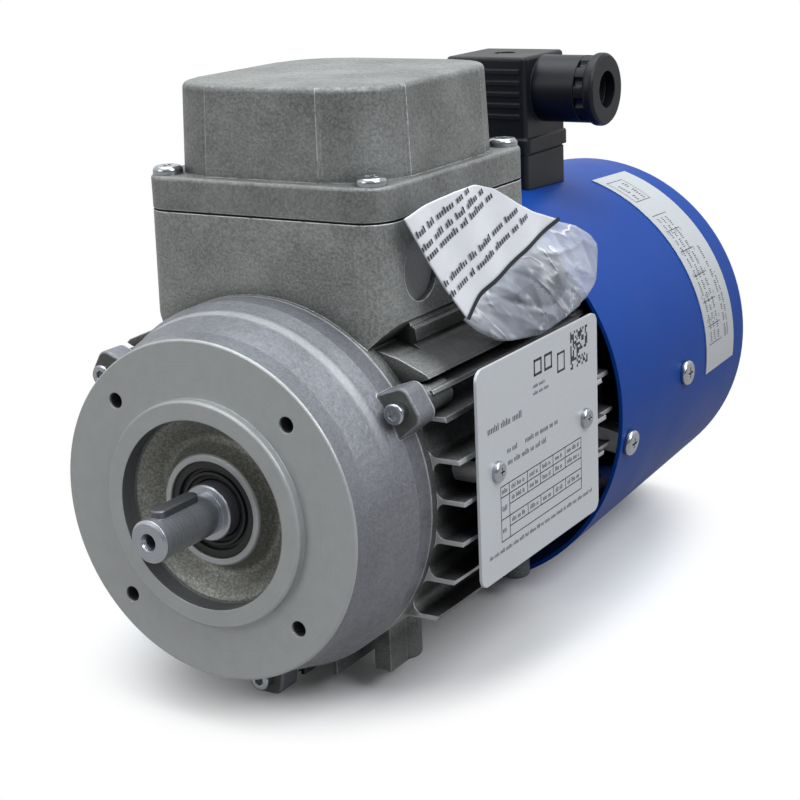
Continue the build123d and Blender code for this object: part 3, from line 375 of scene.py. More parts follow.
def shield_zone_group():
    """Masks of the shield: turned faces and seal ring, the painted highlight of the upper neck band and rim
    edge, lugs, the painted shade of the recess wall, and dish.
    """
    tree, given, end = new_group(
        "Shield zones", {"Front": ("Float", 0.7 * MM)},
        {"Mask": "Float", "Lug": "Float", "Wall": "Float", "Dish": "Float", "Band": "Float"},
    )
    axes = parts(tree, object_place(tree))
    facing = parts(tree, true_normal(tree))
    radius, depth = shaft_radius(tree, axes), axes[1]
    flange = times(tree, below(tree, depth, given["Front"]), above(tree, radius, FACE_RADIUS * MM))
    ring = times(tree, below(tree, depth, SEAL_RING_DEPTH * MM), below(tree, radius, SEAL_RING_RADIUS * MM))
    # Painted highlight on the upper neck band and on the rim's rear edge
    neck = times(tree, step(tree, depth, BAND_START), step(tree, depth, BAND_END),
                 step(tree, axes[2], BAND_HEIGHT))
    band = times(tree, maths(tree, "MAXIMUM", neck, step(tree, depth, RIM_EDGE)),
                 above(tree, radius, BAND_RADIUS * MM))
    lug = times(tree, below(tree, facing[1], -0.98), above(tree, radius, LUG_RADIUS * MM))
    # Recess wall, which takes painted shade
    wall = times(tree, above(tree, facing[1], -0.5), below(tree, radius, WALL_RADIUS * MM),
                 above(tree, radius, RECESS_RADIUS * MM))
    dish = below(tree, radius, RECESS_RADIUS * MM)
    return finish_group(tree, end, Mask=maths(tree, "MAXIMUM", flange, ring), Lug=lug, Wall=wall, Dish=dish,
                        Band=band)


def frame_zone_group():
    """Masks of the frame: painted shade on the roof beside the box and on the fin sides and belly, and a
    painted highlight on the fin tips.
    """
    tree, given, end = new_group(
        "Frame zones", {"Roof": ("Float", 29.0 * MM)}, {"Stain": "Float", "Deep": "Float", "Tip": "Float"}
    )
    axes = parts(tree, object_place(tree))
    facing = parts(tree, true_normal(tree))
    aside = maths(tree, "ABSOLUTE", axes[0])
    over = above(tree, axes[2], given["Roof"])
    # Roof beside the box, which takes painted shade
    painted_shading = times(tree, step(tree, aside, ROOF_SIDE), step(tree, axes[2], ROOF_TOP), over,
                  step(tree, axes[1], ROOF_START))
    # Fin sides and the belly, which take painted shade
    fins = times(tree, step(tree, aside, FIN_SIDE), maths(tree, "SUBTRACT", 1.0, over))
    # End and outer faces of the fin tips, which take a painted highlight
    end_face = below(tree, facing[1], -0.7)
    outer_face = times(tree, above(tree, maths(tree, "ABSOLUTE", facing[0]), 0.6),
                       above(tree, aside, FIN_TIP_SIDE * MM))
    tip_highlight = times(tree, fins, maths(tree, "MAXIMUM", end_face, outer_face))
    deep = maths(tree, "MAXIMUM", fins, step(tree, axes[2], BELLY))
    return finish_group(tree, end, Stain=painted_shading, Deep=deep, Tip=tip_highlight)


def edge_group():
    """How far a rounded normal leans from the true one: a painted highlight, partly wear, along convex and
    concave edges, broken up by a noise.
    """
    tree, given, end = new_group(
        "Edge light", {"Rounded": ("Vector", (0.0, 0.0, 1.0)), "Gain": ("Float", 3.0)}, {"Mask": "Float"}
    )
    lean = maths(tree, "SUBTRACT", 1.0, dot(tree, given["Rounded"], true_normal(tree)))
    worn = smooth(tree, noise(tree, object_place(tree), 420.0, 3.0), 0.25, 0.6)
    mask = times(tree, lean, given["Gain"], worn)
    return finish_group(tree, end, Mask=maths(tree, "MINIMUM", mask, 1.0))


def grain_group():
    """Moulded or painted skin: a small change of tone and a low orange-peel height."""
    tree, given, end = new_group(
        "Fine skin",
        {"Tone": ("Color", (0.1, 0.1, 0.1, 1)), "Grain": ("Float", 900.0), "Contrast": ("Float", 0.1),
         "Rough": ("Float", 0.4)},
        {"Color": "Color", "Roughness": "Float", "Height": "Float"},
    )
    place = object_place(tree)
    fine = noise(tree, place, given["Grain"], 3.0)
    broad = noise(tree, place, 38.0, 2.0)
    shade = maths(tree, "SUBTRACT", maths(tree, "ADD", fine, broad), 1.0)
    level = maths(tree, "ADD", 1.0, times(tree, shade, given["Contrast"]))
    spread = times(tree, maths(tree, "SUBTRACT", broad, 0.5), 0.18)
    rough = maths(tree, "ADD", given["Rough"], spread)
    return finish_group(tree, end, Color=scaled(tree, given["Tone"], level), Roughness=rough, Height=fine)


def crinkle_group():
    """Thin film: grey and half clear, with painted highlights as white streaks along its folds and finer
    facets, and white clouds that are partly frosting and partly painted sheen.
    """
    tree, given, end = new_group(
        "Crinkled film",
        {"Tone": ("Color", (0.2, 0.2, 0.25, 1)), "Clear": ("Float", 0.4)},
        {"Color": "Color", "Alpha": "Float", "Roughness": "Float", "Height": "Float"},
    )
    place = object_place(tree)
    along_folds = dot(tree, place, (0.150, 0.704, -0.69))
    across_folds = dot(tree, place, (0.143, 0.675, 0.72))
    out_of_plane = dot(tree, place, (0.978, -0.208, 0.0))

    def stretched(share):
        """Place shortened along the folds, so that a noise is drawn out along them."""
        axes = {0: times(tree, along_folds, share), 1: across_folds, 2: out_of_plane}
        return add(tree, "ShaderNodeCombineXYZ", axes).outputs[0]

    def ridge(vector, scale, width):
        """Line of painted highlight where a noise crosses its middle level."""
        off_middle = maths(tree, "SUBTRACT", noise(tree, vector, scale, 2.0, 0.5), 0.5)
        return smooth(tree, maths(tree, "ABSOLUTE", off_middle), width, 0.0)

    def patches(scale, low, high):
        """Soft patches of a noise between two levels."""
        return smooth(tree, noise(tree, place, scale), low, high)

    half_way = stretched(0.5)
    clouds = smooth(tree, noise(tree, half_way, 60.0, 3.0), 0.42, 0.70)
    streaks = times(tree, ridge(stretched(0.12), 150.0, 0.045), patches(80.0, 0.38, 0.56))
    facets = times(tree, ridge(half_way, 130.0, 0.022), patches(55.0, 0.50, 0.62))
    folds = maths(tree, "MAXIMUM", streaks, times(tree, facets, 0.35))
    # Painted highlight: white along the folds and facets, and on the clouds partly frosting and partly painted
    # sheen
    white = maths(tree, "MAXIMUM", folds, times(tree, clouds, 0.5))
    alpha = maths(tree, "ADD", given["Clear"], times(tree, white, 0.4))
    tone = blend(tree, white, given["Tone"], CREASE_HIGHLIGHT)
    rough = smooth(tree, clouds, 0.0, 1.0, 0.14, 0.34)
    return finish_group(tree, end, Color=tone, Alpha=alpha, Roughness=rough, Height=folds)


groups = {}


def use_group(tree, maker, inputs=()):
    """Place a shader group, which its maker builds on first use."""
    if maker not in groups:
        groups[maker] = maker()
    return add(tree, "ShaderNodeGroup", inputs, node_tree=groups[maker]).outputs


def new_material(name, **constants):
    """Material with a Principled shader; constants are its socket values."""
    material = bpy.data.materials.new(name)
    material.use_nodes = True
    tree = material.node_tree
    shader = tree.nodes["Principled BSDF"]
    set_inputs(tree, shader, {key.replace("_", " "): value for key, value in constants.items()})
    return material, tree, shader


def link(tree, shader, **sockets):
    """Link outputs to the shader's sockets, which are named with underscores for spaces."""
    set_inputs(tree, shader, {key.replace("_", " "): value for key, value in sockets.items()})


def bump(tree, height, distance, strength, normal=None):
    """Normal raised by a height, at most by a distance in millimetres."""
    inputs = {"Height": height, "Distance": distance * MM, "Strength": strength}
    if normal is not None:
        inputs["Normal"] = normal
    return add(tree, "ShaderNodeBump", inputs).outputs[0]


def rounded(tree, radius):
    """Normal rounded over the edges within a radius."""
    return add(tree, "ShaderNodeBevel", {"Radius": radius}, samples=6).outputs[0]


def mix_value(tree, factor, first, second):
    """Mix of two values."""
    return add(tree, "ShaderNodeMix", {0: factor, 2: first, 3: second}).outputs[0]


def cast_material(name, tone, settings, corner_shade=1.0, contrast=0.9, turned=None, frame_shading=False):
    """As-cast aluminium with painted corner shade and worn, painted-highlight edges: a second tone turns the
    shield's faces, and the frame has painted shade and highlights.
    """
    material, tree, shader = new_material(name, Metallic=0.45)
    skin = use_group(tree, cast_group, {"Tone": rgba(tone), "Grain": 1 / settings.grain,
                                        "Contrast": contrast, "Corner shade": corner_shade})
    soft = rounded(tree, settings.edge)
    # Painted highlight and wear along the edges that the painted corner shade leaves open
    edge = times(tree, use_group(tree, edge_group, {"Rounded": soft, "Gain": 9.0})["Mask"], skin["Open"])
    shade = blend(tree, edge, skin["Color"], EDGE_WEAR_AND_HIGHLIGHT)
    rough, height = skin["Roughness"], skin["Height"]
    if turned is not None:
        face = use_group(tree, turned_group, {"Tone": rgba(turned), "Pitch": 2600.0})
        zones = use_group(tree, shield_zone_group)
        grains = noise(tree, object_place(tree), 1500.0, 4.0, 0.7)
        sand = blend(tree, smooth(tree, grains, 0.38, 0.66), DARK_SAND, PALE_SAND)
        shade = blend(tree, times(tree, zones["Dish"], 0.8), shade, sand)
        shade = blend(tree, zones["Mask"], shade, face["Color"])
        # Painted highlight on the upper neck band and rim edge
        shade = blend(tree, times(tree, zones["Band"], 0.42), shade, SHIELD_HIGHLIGHT)
        shade = blend(tree, zones["Lug"], shade, rgba(settings.lug_tone))
        # Painted shade over the recess wall
        shade = blend(tree, zones["Wall"], shade, RECESS_WALL_SHADE)
        rough = mix_value(tree, zones["Mask"], rough, face["Roughness"])
        height = mix_value(tree, zones["Mask"], height, times(tree, face["Height"], 0.15))
    if frame_shading:
        # Painted shade on the roof, the fin sides and the belly, and a painted highlight on the fin tips
        zones = use_group(tree, frame_zone_group)
        for zone, share, painted_shading in (("Stain", 0.9, ROOF_SHADE), ("Deep", 0.6, FIN_SHADE), ("Tip", 0.7, FIN_TIP_HIGHLIGHT)):
            shade = blend(tree, times(tree, zones[zone], share), shade, painted_shading)
    link(tree, shader, Base_Color=shade, Roughness=rough, Normal=bump(tree, height, 0.2, 0.8, soft))
    return material


def fine_skin(tree, tone, grain, contrast, rough):
    """Outputs of the fine skin group."""
    return use_group(tree, grain_group, {"Tone": rgba(tone), "Grain": grain, "Contrast": contrast,
                                         "Rough": rough})


def metal_material(name, tone, rough=0.3, contrast=0.25, grain=1500.0, edge=0.25, metallic=1.0):
    """Plated or machined metal with small changes of tone and a painted highlight along its edges."""
    material, tree, shader = new_material(name, Metallic=metallic)
    skin = fine_skin(tree, tone, grain, contrast, rough)
    soft = rounded(tree, edge * MM)
    # Painted highlight along the edges
    lit = use_group(tree, edge_group, {"Rounded": soft, "Gain": 1.2})["Mask"]
    link(tree, shader, Base_Color=blend(tree, lit, skin["Color"], PLATED_EDGE_HIGHLIGHT), Roughness=skin["Roughness"],
         Normal=bump(tree, skin["Height"], 0.03, 0.5, soft))
    return material


def ground_material(name, tone):
    """Ground steel with fine rings about the shaft axis."""
    material, tree, shader = new_material(name, Metallic=0.88)
    face = use_group(tree, turned_group, {"Tone": rgba(tone), "Pitch": 3200.0, "Rough": 0.3})
    link(tree, shader, Base_Color=face["Color"], Roughness=face["Roughness"],
         Normal=bump(tree, face["Height"], 0.005, 0.4, rounded(tree, 0.3 * MM)))
    return material


def plain_material(name, tone, rough, contrast=0.15, grain=1200.0, height=0.05, edge=0.4, light=0.0, gloss=0.5):
    """Paint, rubber or moulded plastic; height and edge are in millimetres, light is the gain of a painted
    highlight on edges.
    """
    material, tree, shader = new_material(name, Metallic=0.0, Specular_IOR_Level=gloss)
    skin = fine_skin(tree, tone, grain, contrast, rough)
    soft = rounded(tree, edge * MM)
    base = skin["Color"]
    # Painted highlight: a paler copy of the tone along the edges
    if light > 0:
        mask = use_group(tree, edge_group, {"Rounded": soft, "Gain": light})["Mask"]
        pale = tuple(min(1.0, 0.04 + 2.0 * level) for level in tone[:3])
        base = blend(tree, mask, base, (*pale, 1.0))
    link(tree, shader, Base_Color=base, Roughness=skin["Roughness"],
         Normal=bump(tree, skin["Height"], height, 0.6, soft))
    return material


def film_material(name, tone, clear):
    """Thin clear film whose creases show white with painted highlights."""
    material, tree, shader = new_material(name, Metallic=0.0, IOR=1.45)
    film = use_group(tree, crinkle_group, {"Tone": rgba(tone), "Clear": clear})
    link(tree, shader, Base_Color=film["Color"], Alpha=film["Alpha"], Roughness=film["Roughness"],
         Normal=bump(tree, film["Height"], 0.5, 0.7))
    return material


def dress(material, *names):
    """Give one material to whole nodes."""
    for name in names:
        mesh = nodes[name].data
        mesh.materials.clear()
        mesh.materials.append(material)


# Mesh helpers
def new_piece(name, points, faces, material):
    """Mesh object from arrays of points and faces, on the motor's body and a material slot."""
    mesh = bpy.data.meshes.new(name)
    mesh.from_pydata(np.asarray(points).reshape(-1, 3).tolist(), [], np.asarray(faces).tolist())
    mesh.materials.append(material)
    mesh.update()
    piece = bpy.data.objects.new(name, mesh)
    bpy.context.scene.collection.objects.link(piece)
    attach(piece, "motor")
    return piece


def grid_faces(rows, columns, offset=0, flip=False):
    """Quads of a grid of rows by columns points."""
    index = np.arange(rows * columns).reshape(rows, columns) + offset
    corners = [index[:-1, :-1], index[:-1, 1:], index[1:, 1:], index[1:, :-1]]
    quads = np.stack([corner.ravel() for corner in corners], axis=1)
    return quads[:, ::-1] if flip else quads


def ink(name, boxes, place, material, slot, pieces=1):
    """Printed boxes: each (u0, v0, u1, v1) in millimetres, cut into pieces along u, lies on place's surface."""
    boxes = np.asarray(boxes, float)
    steps = np.linspace(0, 1, pieces + 1)
    width = (boxes[:, 2] - boxes[:, 0])[:, None]
    u0 = boxes[:, None, 0] + width * steps[None, :-1]
    u1 = boxes[:, None, 0] + width * steps[None, 1:]
    v0 = np.broadcast_to(boxes[:, None, 1], u0.shape)
    v1 = np.broadcast_to(boxes[:, None, 3], u0.shape)
    u = np.stack([u0, u1, u1, u0], axis=-1).ravel()
    v = np.stack([v0, v0, v1, v1], axis=-1).ravel()
    points = place(u, v)
    return new_piece(name, points, np.arange(len(points)).reshape(-1, 4), material)


def greek(rng, u0, u1, v, size, words=(3, 8)):
    """A row of blank bars in place of lettering, from u0 to u1 at height v, in words of uneven length."""
    bars = []
    u = u0
    while u < u1:
        for _ in range(int(rng.integers(*words))):
            tall = size * (1.0 if rng.random() < 0.25 else 0.72)
            if u + 0.4 * size > u1:
                break
            bars.append((u, v, u + 0.22 * size, v + tall))
            u += 0.46 * size
        u += 0.5 * size
    return bars


def frame_lines(u0, v0, u1, v1, line):
    """Four thin boxes round a rectangle."""
    return [(u0, v0, u1, v0 + line), (u0, v1 - line, u1, v1), (u0, v0, u0 + line, v1), (u1 - line, v0, u1, v1)]


class MOTOR_OT_castings(bpy.types.Operator):
    """Finish the cast and machined aluminium: frame, shields and terminal box"""

    bl_idname = "motor.castings"
    bl_label = "Castings"

    def execute(self, context):
        settings = context.scene.motor_castings
        frame_tone, cover_tone = (tuple(share * level for level in settings.tone) for share in (1.08, 0.84))
        rough_cast = cast_material("Cast aluminium", frame_tone, settings, frame_shading=True)
        shield = cast_material("Shield aluminium", settings.shield_tone, settings, 0.5, 0.5,
                               settings.flange_tone)
        cover = cast_material("Cover aluminium", cover_tone, settings, 0.6, 0.9)
        dress(rough_cast, "stator_frame", "rear_shield")
        dress(shield, "front_shield")
        dress(cover, "terminal_box_cover")
        return {"FINISHED"}


class MOTOR_OT_cowl(bpy.types.Operator):
    """Paint the sheet-metal cowl and finish what it holds"""

    bl_idname = "motor.cowl"
    bl_label = "Cowl and fan"

    def execute(self, context):
        settings = context.scene.motor_cowl
        plastics = context.scene.motor_plastics
        paint = plain_material("Blue paint", settings.paint, settings.roughness, 0.06, 700.0, 0.03, 0.35,
                               light=1.2, gloss=0.12)
        dress(paint, "fan_cowl")
        dress(plain_material("Fan plastic", plastics.rubber, 0.45, 0.2), "fan_impeller")
        dress(plain_material("Motor black", plastics.plug, 0.5, 0.2), "fan_motor")
        dress(metal_material("Carrier zinc", context.scene.motor_metals.zinc, 0.4), "fan_carrier", "fan_clip")
        return {"FINISHED"}


class MOTOR_OT_plastics(bpy.types.Operator):
    """Finish the connector, its gland and the rubber parts"""

    bl_idname = "motor.plastics"
    bl_label = "Connector and rubber"

    def execute(self, context):
        settings = context.scene.motor_plastics
        plug = plain_material("Connector plastic", settings.plug, 0.42, 0.25, 1500.0, 0.05, 0.5,
                              light=1.2, gloss=0.28)
        rubber = plain_material("Rubber", settings.rubber, 0.5, 0.3, 1400.0, 0.05, 0.3, 0.8)
        board = plain_material("Board moulding", settings.plug, 0.55, 0.3)
        dress(plug, "plug_base", "plug_housing", "gland_nut")
        dress(rubber, "shaft_seal", "terminal_box_gasket", "plug_gasket", "gland_seal")
        dress(board, "spare_gland", "terminal_board")
        dress(plain_material("Entry disc plastic", DISC_GREY, 0.5, 0.4), "entry_disc")
        return {"FINISHED"}


class MOTOR_OT_metals(bpy.types.Operator):
    """Finish the screws, shaft, bearings and electrical parts"""

    bl_idname = "motor.metals"
    bl_label = "Screws, shaft and core"

    def execute(self, context):
        settings = context.scene.motor_metals
        zinc = metal_material("Zinc plate", settings.zinc, 0.22, 0.4)
        shaft = ground_material("Ground steel", settings.shaft)
        key = metal_material("Key steel", tuple(0.35 * level for level in settings.shaft), 0.45, 0.3)
        bearing = metal_material("Bearing steel", settings.zinc, 0.15, 0.1)
        dress(zinc, "shield_screws", "cover_screws", "earth_screw", "rear_screws", "cowl_screws",
              "fan_motor_screws", "plug_screw", "plate_screws", "board_screws")
        dress(shaft, "rotor_shaft", "fan_shaft")
        dress(key, "shaft_key")
        dress(bearing, "wave_washer", *[f"{end}_bearing_{part}" for end in ("front", "rear")
                                        for part in ("outer", "inner", "balls")])
        dress(metal_material("Brass", settings.brass, 0.3, 0.2), "terminal_studs", "terminal_nuts",
              "terminal_links", "plug_pins")
        dress(metal_material("Winding", settings.copper, 0.35, 0.5, 600.0), "stator_winding")
        dress(metal_material("Laminations", settings.core, 0.5, 0.3), "stator_core", "rotor_core")
        dress(metal_material("Cage aluminium", settings.zinc, 0.45, 0.3), "rotor_cage")
        return {"FINISHED"}


# Ruled table of the plate, in millimetres from its lower left corner, and the size of the code pattern
TABLE = (10.8, 9.3, 57.8, 24.4)
TABLE_LINE = 0.28
TABLE_FIRST, TABLE_COLUMNS = 15.4, (25.5, 32.9, 40.4, 47.7)
TABLE_UPPER, TABLE_RULE, TABLE_MIDDLE, TABLE_LOWER = 21.2, 18.3, 15.2, 12.3
CODE_CORNER, CODE_CELLS, CODE_CELL = (52.0, 44.8), 14, 0.75

# Rows of bars on the plate and the strip: start, end, height and size of the lettering, in millimetres
PLATE_ROWS = (
    (11.7, 14.8, 22.2, 1.3), (11.7, 14.8, 17.4, 1.5), (11.7, 14.8, 11.6, 1.5), (5.0, 23.5, 39.8, 1.9),
    (15.0, 21.0, 32.2, 1.5), (25.0, 44.9, 32.2, 1.5), (15.2, 37.2, 29.0, 1.5), (4.3, 64.4, 6.5, 1.1),
    (30.0, 37.0, 45.5, 1.0), (30.0, 39.5, 43.6, 1.0),
)
STRIP_ROWS = (
    (9.0, 54.0, 4.2, 1.5), (9.0, 54.0, 7.4, 1.5), (9.0, 54.0, 10.8, 1.5), (8.0, 40.0, 17.0, 1.6),
    (8.0, 30.0, 19.6, 1.3), (63.0, 73.0, 6.0, 2.0), (63.0, 73.0, 11.0, 2.0),
)

# Cone that carries the strip: radius at its start, the depth of the start and the loss of radius per depth
CONE_RADIUS, CONE_START, CONE_SLOPE = 60.5, 118.6, 0.04076
FOIL_HEIGHT = 0.3
STRIP_RADIUS, STRIP_LOW_END = 58.0, math.radians(5.0)


class MOTOR_OT_prints(bpy.types.Operator):
    """Finish the rating plate and the cowl strip, with ruled tables and blank bars for print"""

    bl_idname = "motor.prints"
    bl_label = "Plate and strip"

    def execute(self, context):
        settings = context.scene.motor_prints
        rng = np.random.default_rng(SEED)
        ink_material = plain_material("Ink", settings.ink, 0.5, 0.2)
        ground = metal_material("Plate ground", settings.plate, 0.42, 0.08, 900.0, 0.2, 0.35)
        foil = metal_material("Strip ground", settings.strip, 0.4, 0.1, 900.0, 0.1, 0.35)
        dress(ground, "rating_plate")
        dress(foil, "cowl_strip")
        plate_low, plate_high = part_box("rating_plate")
        face_x = plate_high.x + settings.lift

        def on_plate(u, v):
            """Plate face: u runs along +Y from its left edge and v up from its lower edge."""
            return np.stack([np.full_like(u, face_x), plate_low.y + u * MM, plate_low.z + v * MM], axis=1)

        line = TABLE_LINE
        left, low, right, high = TABLE
        marks = frame_lines(*TABLE, line)
        marks += [(TABLE_FIRST, low, TABLE_FIRST + line, high)]
        marks += [(left, v, right, v + line) for v in (TABLE_UPPER, TABLE_MIDDLE)]
        marks += [(TABLE_FIRST, v, right, v + line) for v in (TABLE_RULE, TABLE_LOWER)]
        for u in TABLE_COLUMNS:
            marks += [(u, TABLE_RULE, u + line, high), (u, TABLE_LOWER, u + line, TABLE_MIDDLE)]
        edges = (TABLE_FIRST, *TABLE_COLUMNS, right)
        for v in (22.2, 19.2, 13.2):
            for u0, u1 in zip(edges[:-1], edges[1:]):
                marks += greek(rng, u0 + 1.4, u1 - 1.2, v, 1.3, (3, 6))
        for row in PLATE_ROWS:
            marks += greek(rng, *row)
        marks += frame_lines(30.5, 48.5, 35.0, 53.0, 0.7) + frame_lines(36.5, 48.5, 41.0, 53.0, 0.7)
        marks += frame_lines(44.0, 46.0, 48.5, 51.5, 0.6)
        filled = rng.random((CODE_CELLS, CODE_CELLS)) < 0.52
        for row, column in zip(*np.nonzero(filled)):
            u, v = CODE_CORNER[0] + CODE_CELL * column, CODE_CORNER[1] + CODE_CELL * row
            marks.append((u, v, u + CODE_CELL, v + CODE_CELL))
        ink("plate_print", marks, on_plate, ink_material, "plate_foil")

        strip_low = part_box("cowl_strip")[0]

        def on_strip(u, v):
            """Cone of the cowl: u runs round it in millimetres of arc from the lower end, v along +Y.

            The radius falls evenly with the depth, and the foil and the ink's lift are added to it.
            """
            depth = strip_low.y / MM + v
            radius = CONE_RADIUS - (depth - CONE_START) * CONE_SLOPE + FOIL_HEIGHT + settings.lift / MM
            angle = u / STRIP_RADIUS - STRIP_LOW_END
            return np.stack([radius * np.cos(angle), depth, radius * np.sin(angle)], axis=1) * MM

        pale_ink = plain_material("Pale ink", tuple(2.6 * level for level in settings.ink), 0.5, 0.2)
        marks = frame_lines(8.0, 3.0, 55.0, 14.0, 0.25)
        marks += [(u, 3.0, u + 0.25, 14.0) for u in (14.0, 22.0, 31.0, 40.0, 48.0)]
        marks += [(8.0, v, 55.0, v + 0.25) for v in (6.5, 9.5)]
        marks += frame_lines(62.0, 3.0, 74.0, 15.0, 0.3)
        for row in STRIP_ROWS:
            marks += greek(rng, *row)
        ink("strip_print", marks, on_strip, pale_ink, "strip_foil", 6)
        return {"FINISHED"}


# Plane of the bag: its origin in millimetres, and the turn of its run about the upright from +X
BAG_ORIGIN = (49.5, 70.0, 0.0)
BAG_TURN = math.radians(78.0)

# Edges of the film in the bag's plane, in millimetres
FILM_SEAM = ((-17.0, 42.0), (-11.5, 47.6), (-3.6, 51.1), (10.4, 57.5), (21.2, 61.6))
FILM_OUTER = ((14.0, 31.6), (19.0, 32.9), (25.0, 34.5), (33.8, 38.7), (38.0, 41.4), (39.4, 52.2))
FILM_FOOT = ((-17.0, 42.0), (-12.2, 38.2), (-4.1, 33.9), (1.0, 32.6), (7.2, 32.1), (14.0, 31.6))
FILM_CROWN = ((21.2, 61.6), (29.7, 59.0), (35.7, 55.7), (39.4, 52.2))

# Swell of each side of the film, the depth and width of its creases, and the most that it may stand out
FILM_SWELL = 4.2
CREASE_DEPTH, CREASE_WIDTH, CREASE_SPREAD = 1.6, 0.8, 0.6
FILM_REACH = 5.4

# Edges of the printed header
HEADER_NEAR = ((-17.3, 42.4), (-11.7, 48.2), (-3.6, 51.6), (10.4, 58.0), (21.2, 62.1))
HEADER_FAR = ((-38.6, 71.8), (-32.1, 73.8), (-20.7, 75.9), (-12.5, 76.5), (-5.8, 74.5))
HEADER_LEFT = ((-17.3, 42.4), (-25.4, 52.1), (-30.5, 59.2), (-38.6, 71.8))
HEADER_RIGHT = ((21.2, 62.1), (10.6, 65.9), (4.1, 69.0), (-5.8, 74.5))

# Rows of print on the header, each from its start to its end in the bag's plane, in millimetres
HEADER_ROWS = (
    ((-34.5, 66.3), (-13.6, 75.8)),
    ((-32.8, 62.5), (-9.0, 74.4)),
    ((-31.0, 60.0), (-5.9, 72.6)),
    ((-25.4, 52.4), (3.5, 67.3)),
    ((-23.6, 49.0), (7.9, 65.0)),
)


def bag_axes():
    """Origin and unit axes of the bag's plane: along it, upwards and out of it."""
    cos, sin = math.cos(BAG_TURN), math.sin(BAG_TURN)
    return np.array(BAG_ORIGIN) * MM, np.array([cos, sin, 0]), np.array([sin, -cos, 0])


def in_bag(s, z, lift):
    """Points of the bag's plane from millimetres along it, height and lift out of it."""
    origin, along, out = bag_axes()
    s, z, lift = (np.asarray(value, float)[..., None] * MM for value in (s, z, lift))
    return origin + s * along + z * np.array([0, 0, 1.0]) + lift * out


def path_points(corners, count):
    """Points spaced evenly along a polyline, softened at its corners."""
    corners = np.asarray(corners, float)
    steps = np.concatenate([[0], np.cumsum(np.linalg.norm(np.diff(corners, axis=0), axis=1))])
    places = np.linspace(0, steps[-1], count)
    line = np.stack([np.interp(places, steps, corners[:, axis]) for axis in (0, 1)], axis=1)
    soft = line.copy()
    for _ in range(4):
        soft[1:-1] = (soft[:-2] + 2 * soft[1:-1] + soft[2:]) / 4
    return soft


def coons(low, high, left, right):
    """Coons patch between four edges: the two blends of opposite edges less the blend of the corners."""
    rows, columns = len(left), len(low)
    v = np.linspace(0, 1, rows)[:, None, None]
    u = np.linspace(0, 1, columns)[None, :, None]
    ruled = (1 - v) * low[None] + v * high[None] + (1 - u) * left[:, None] + u * right[:, None]
    low_corners = (1 - u) * low[0] + u * low[-1]
    high_corners = (1 - u) * high[0] + u * high[-1]
    return ruled - (1 - v) * low_corners - v * high_corners, u[..., 0], v[..., 0]


def creases(s, z, rng, count, width, spread=math.pi / 2):
    """Sum of sharp folds, each a ridge, up or down, that bows a little and fades away from its middle.

    Each lies within the spread of 46 degrees off the upright. Its height is the exponential of minus the
    distance across over the width, times a bell curve along it.
    """
    total = np.zeros_like(s)
    for _ in range(count):
        angle = math.radians(46.0) + rng.uniform(-spread, spread)
        middle = (rng.uniform(s.min(), s.max()), rng.uniform(z.min(), z.max()))
        across = (s - middle[0]) * math.cos(angle) + (z - middle[1]) * math.sin(angle)
        run = -(s - middle[0]) * math.sin(angle) + (z - middle[1]) * math.cos(angle)
        bend = across + 0.02 * run ** 2 * rng.uniform(-1, 1)
        total += rng.uniform(-1, 1) * np.exp(-np.abs(bend) / width) * np.exp(-(run / rng.uniform(6, 16)) ** 2)
    return total


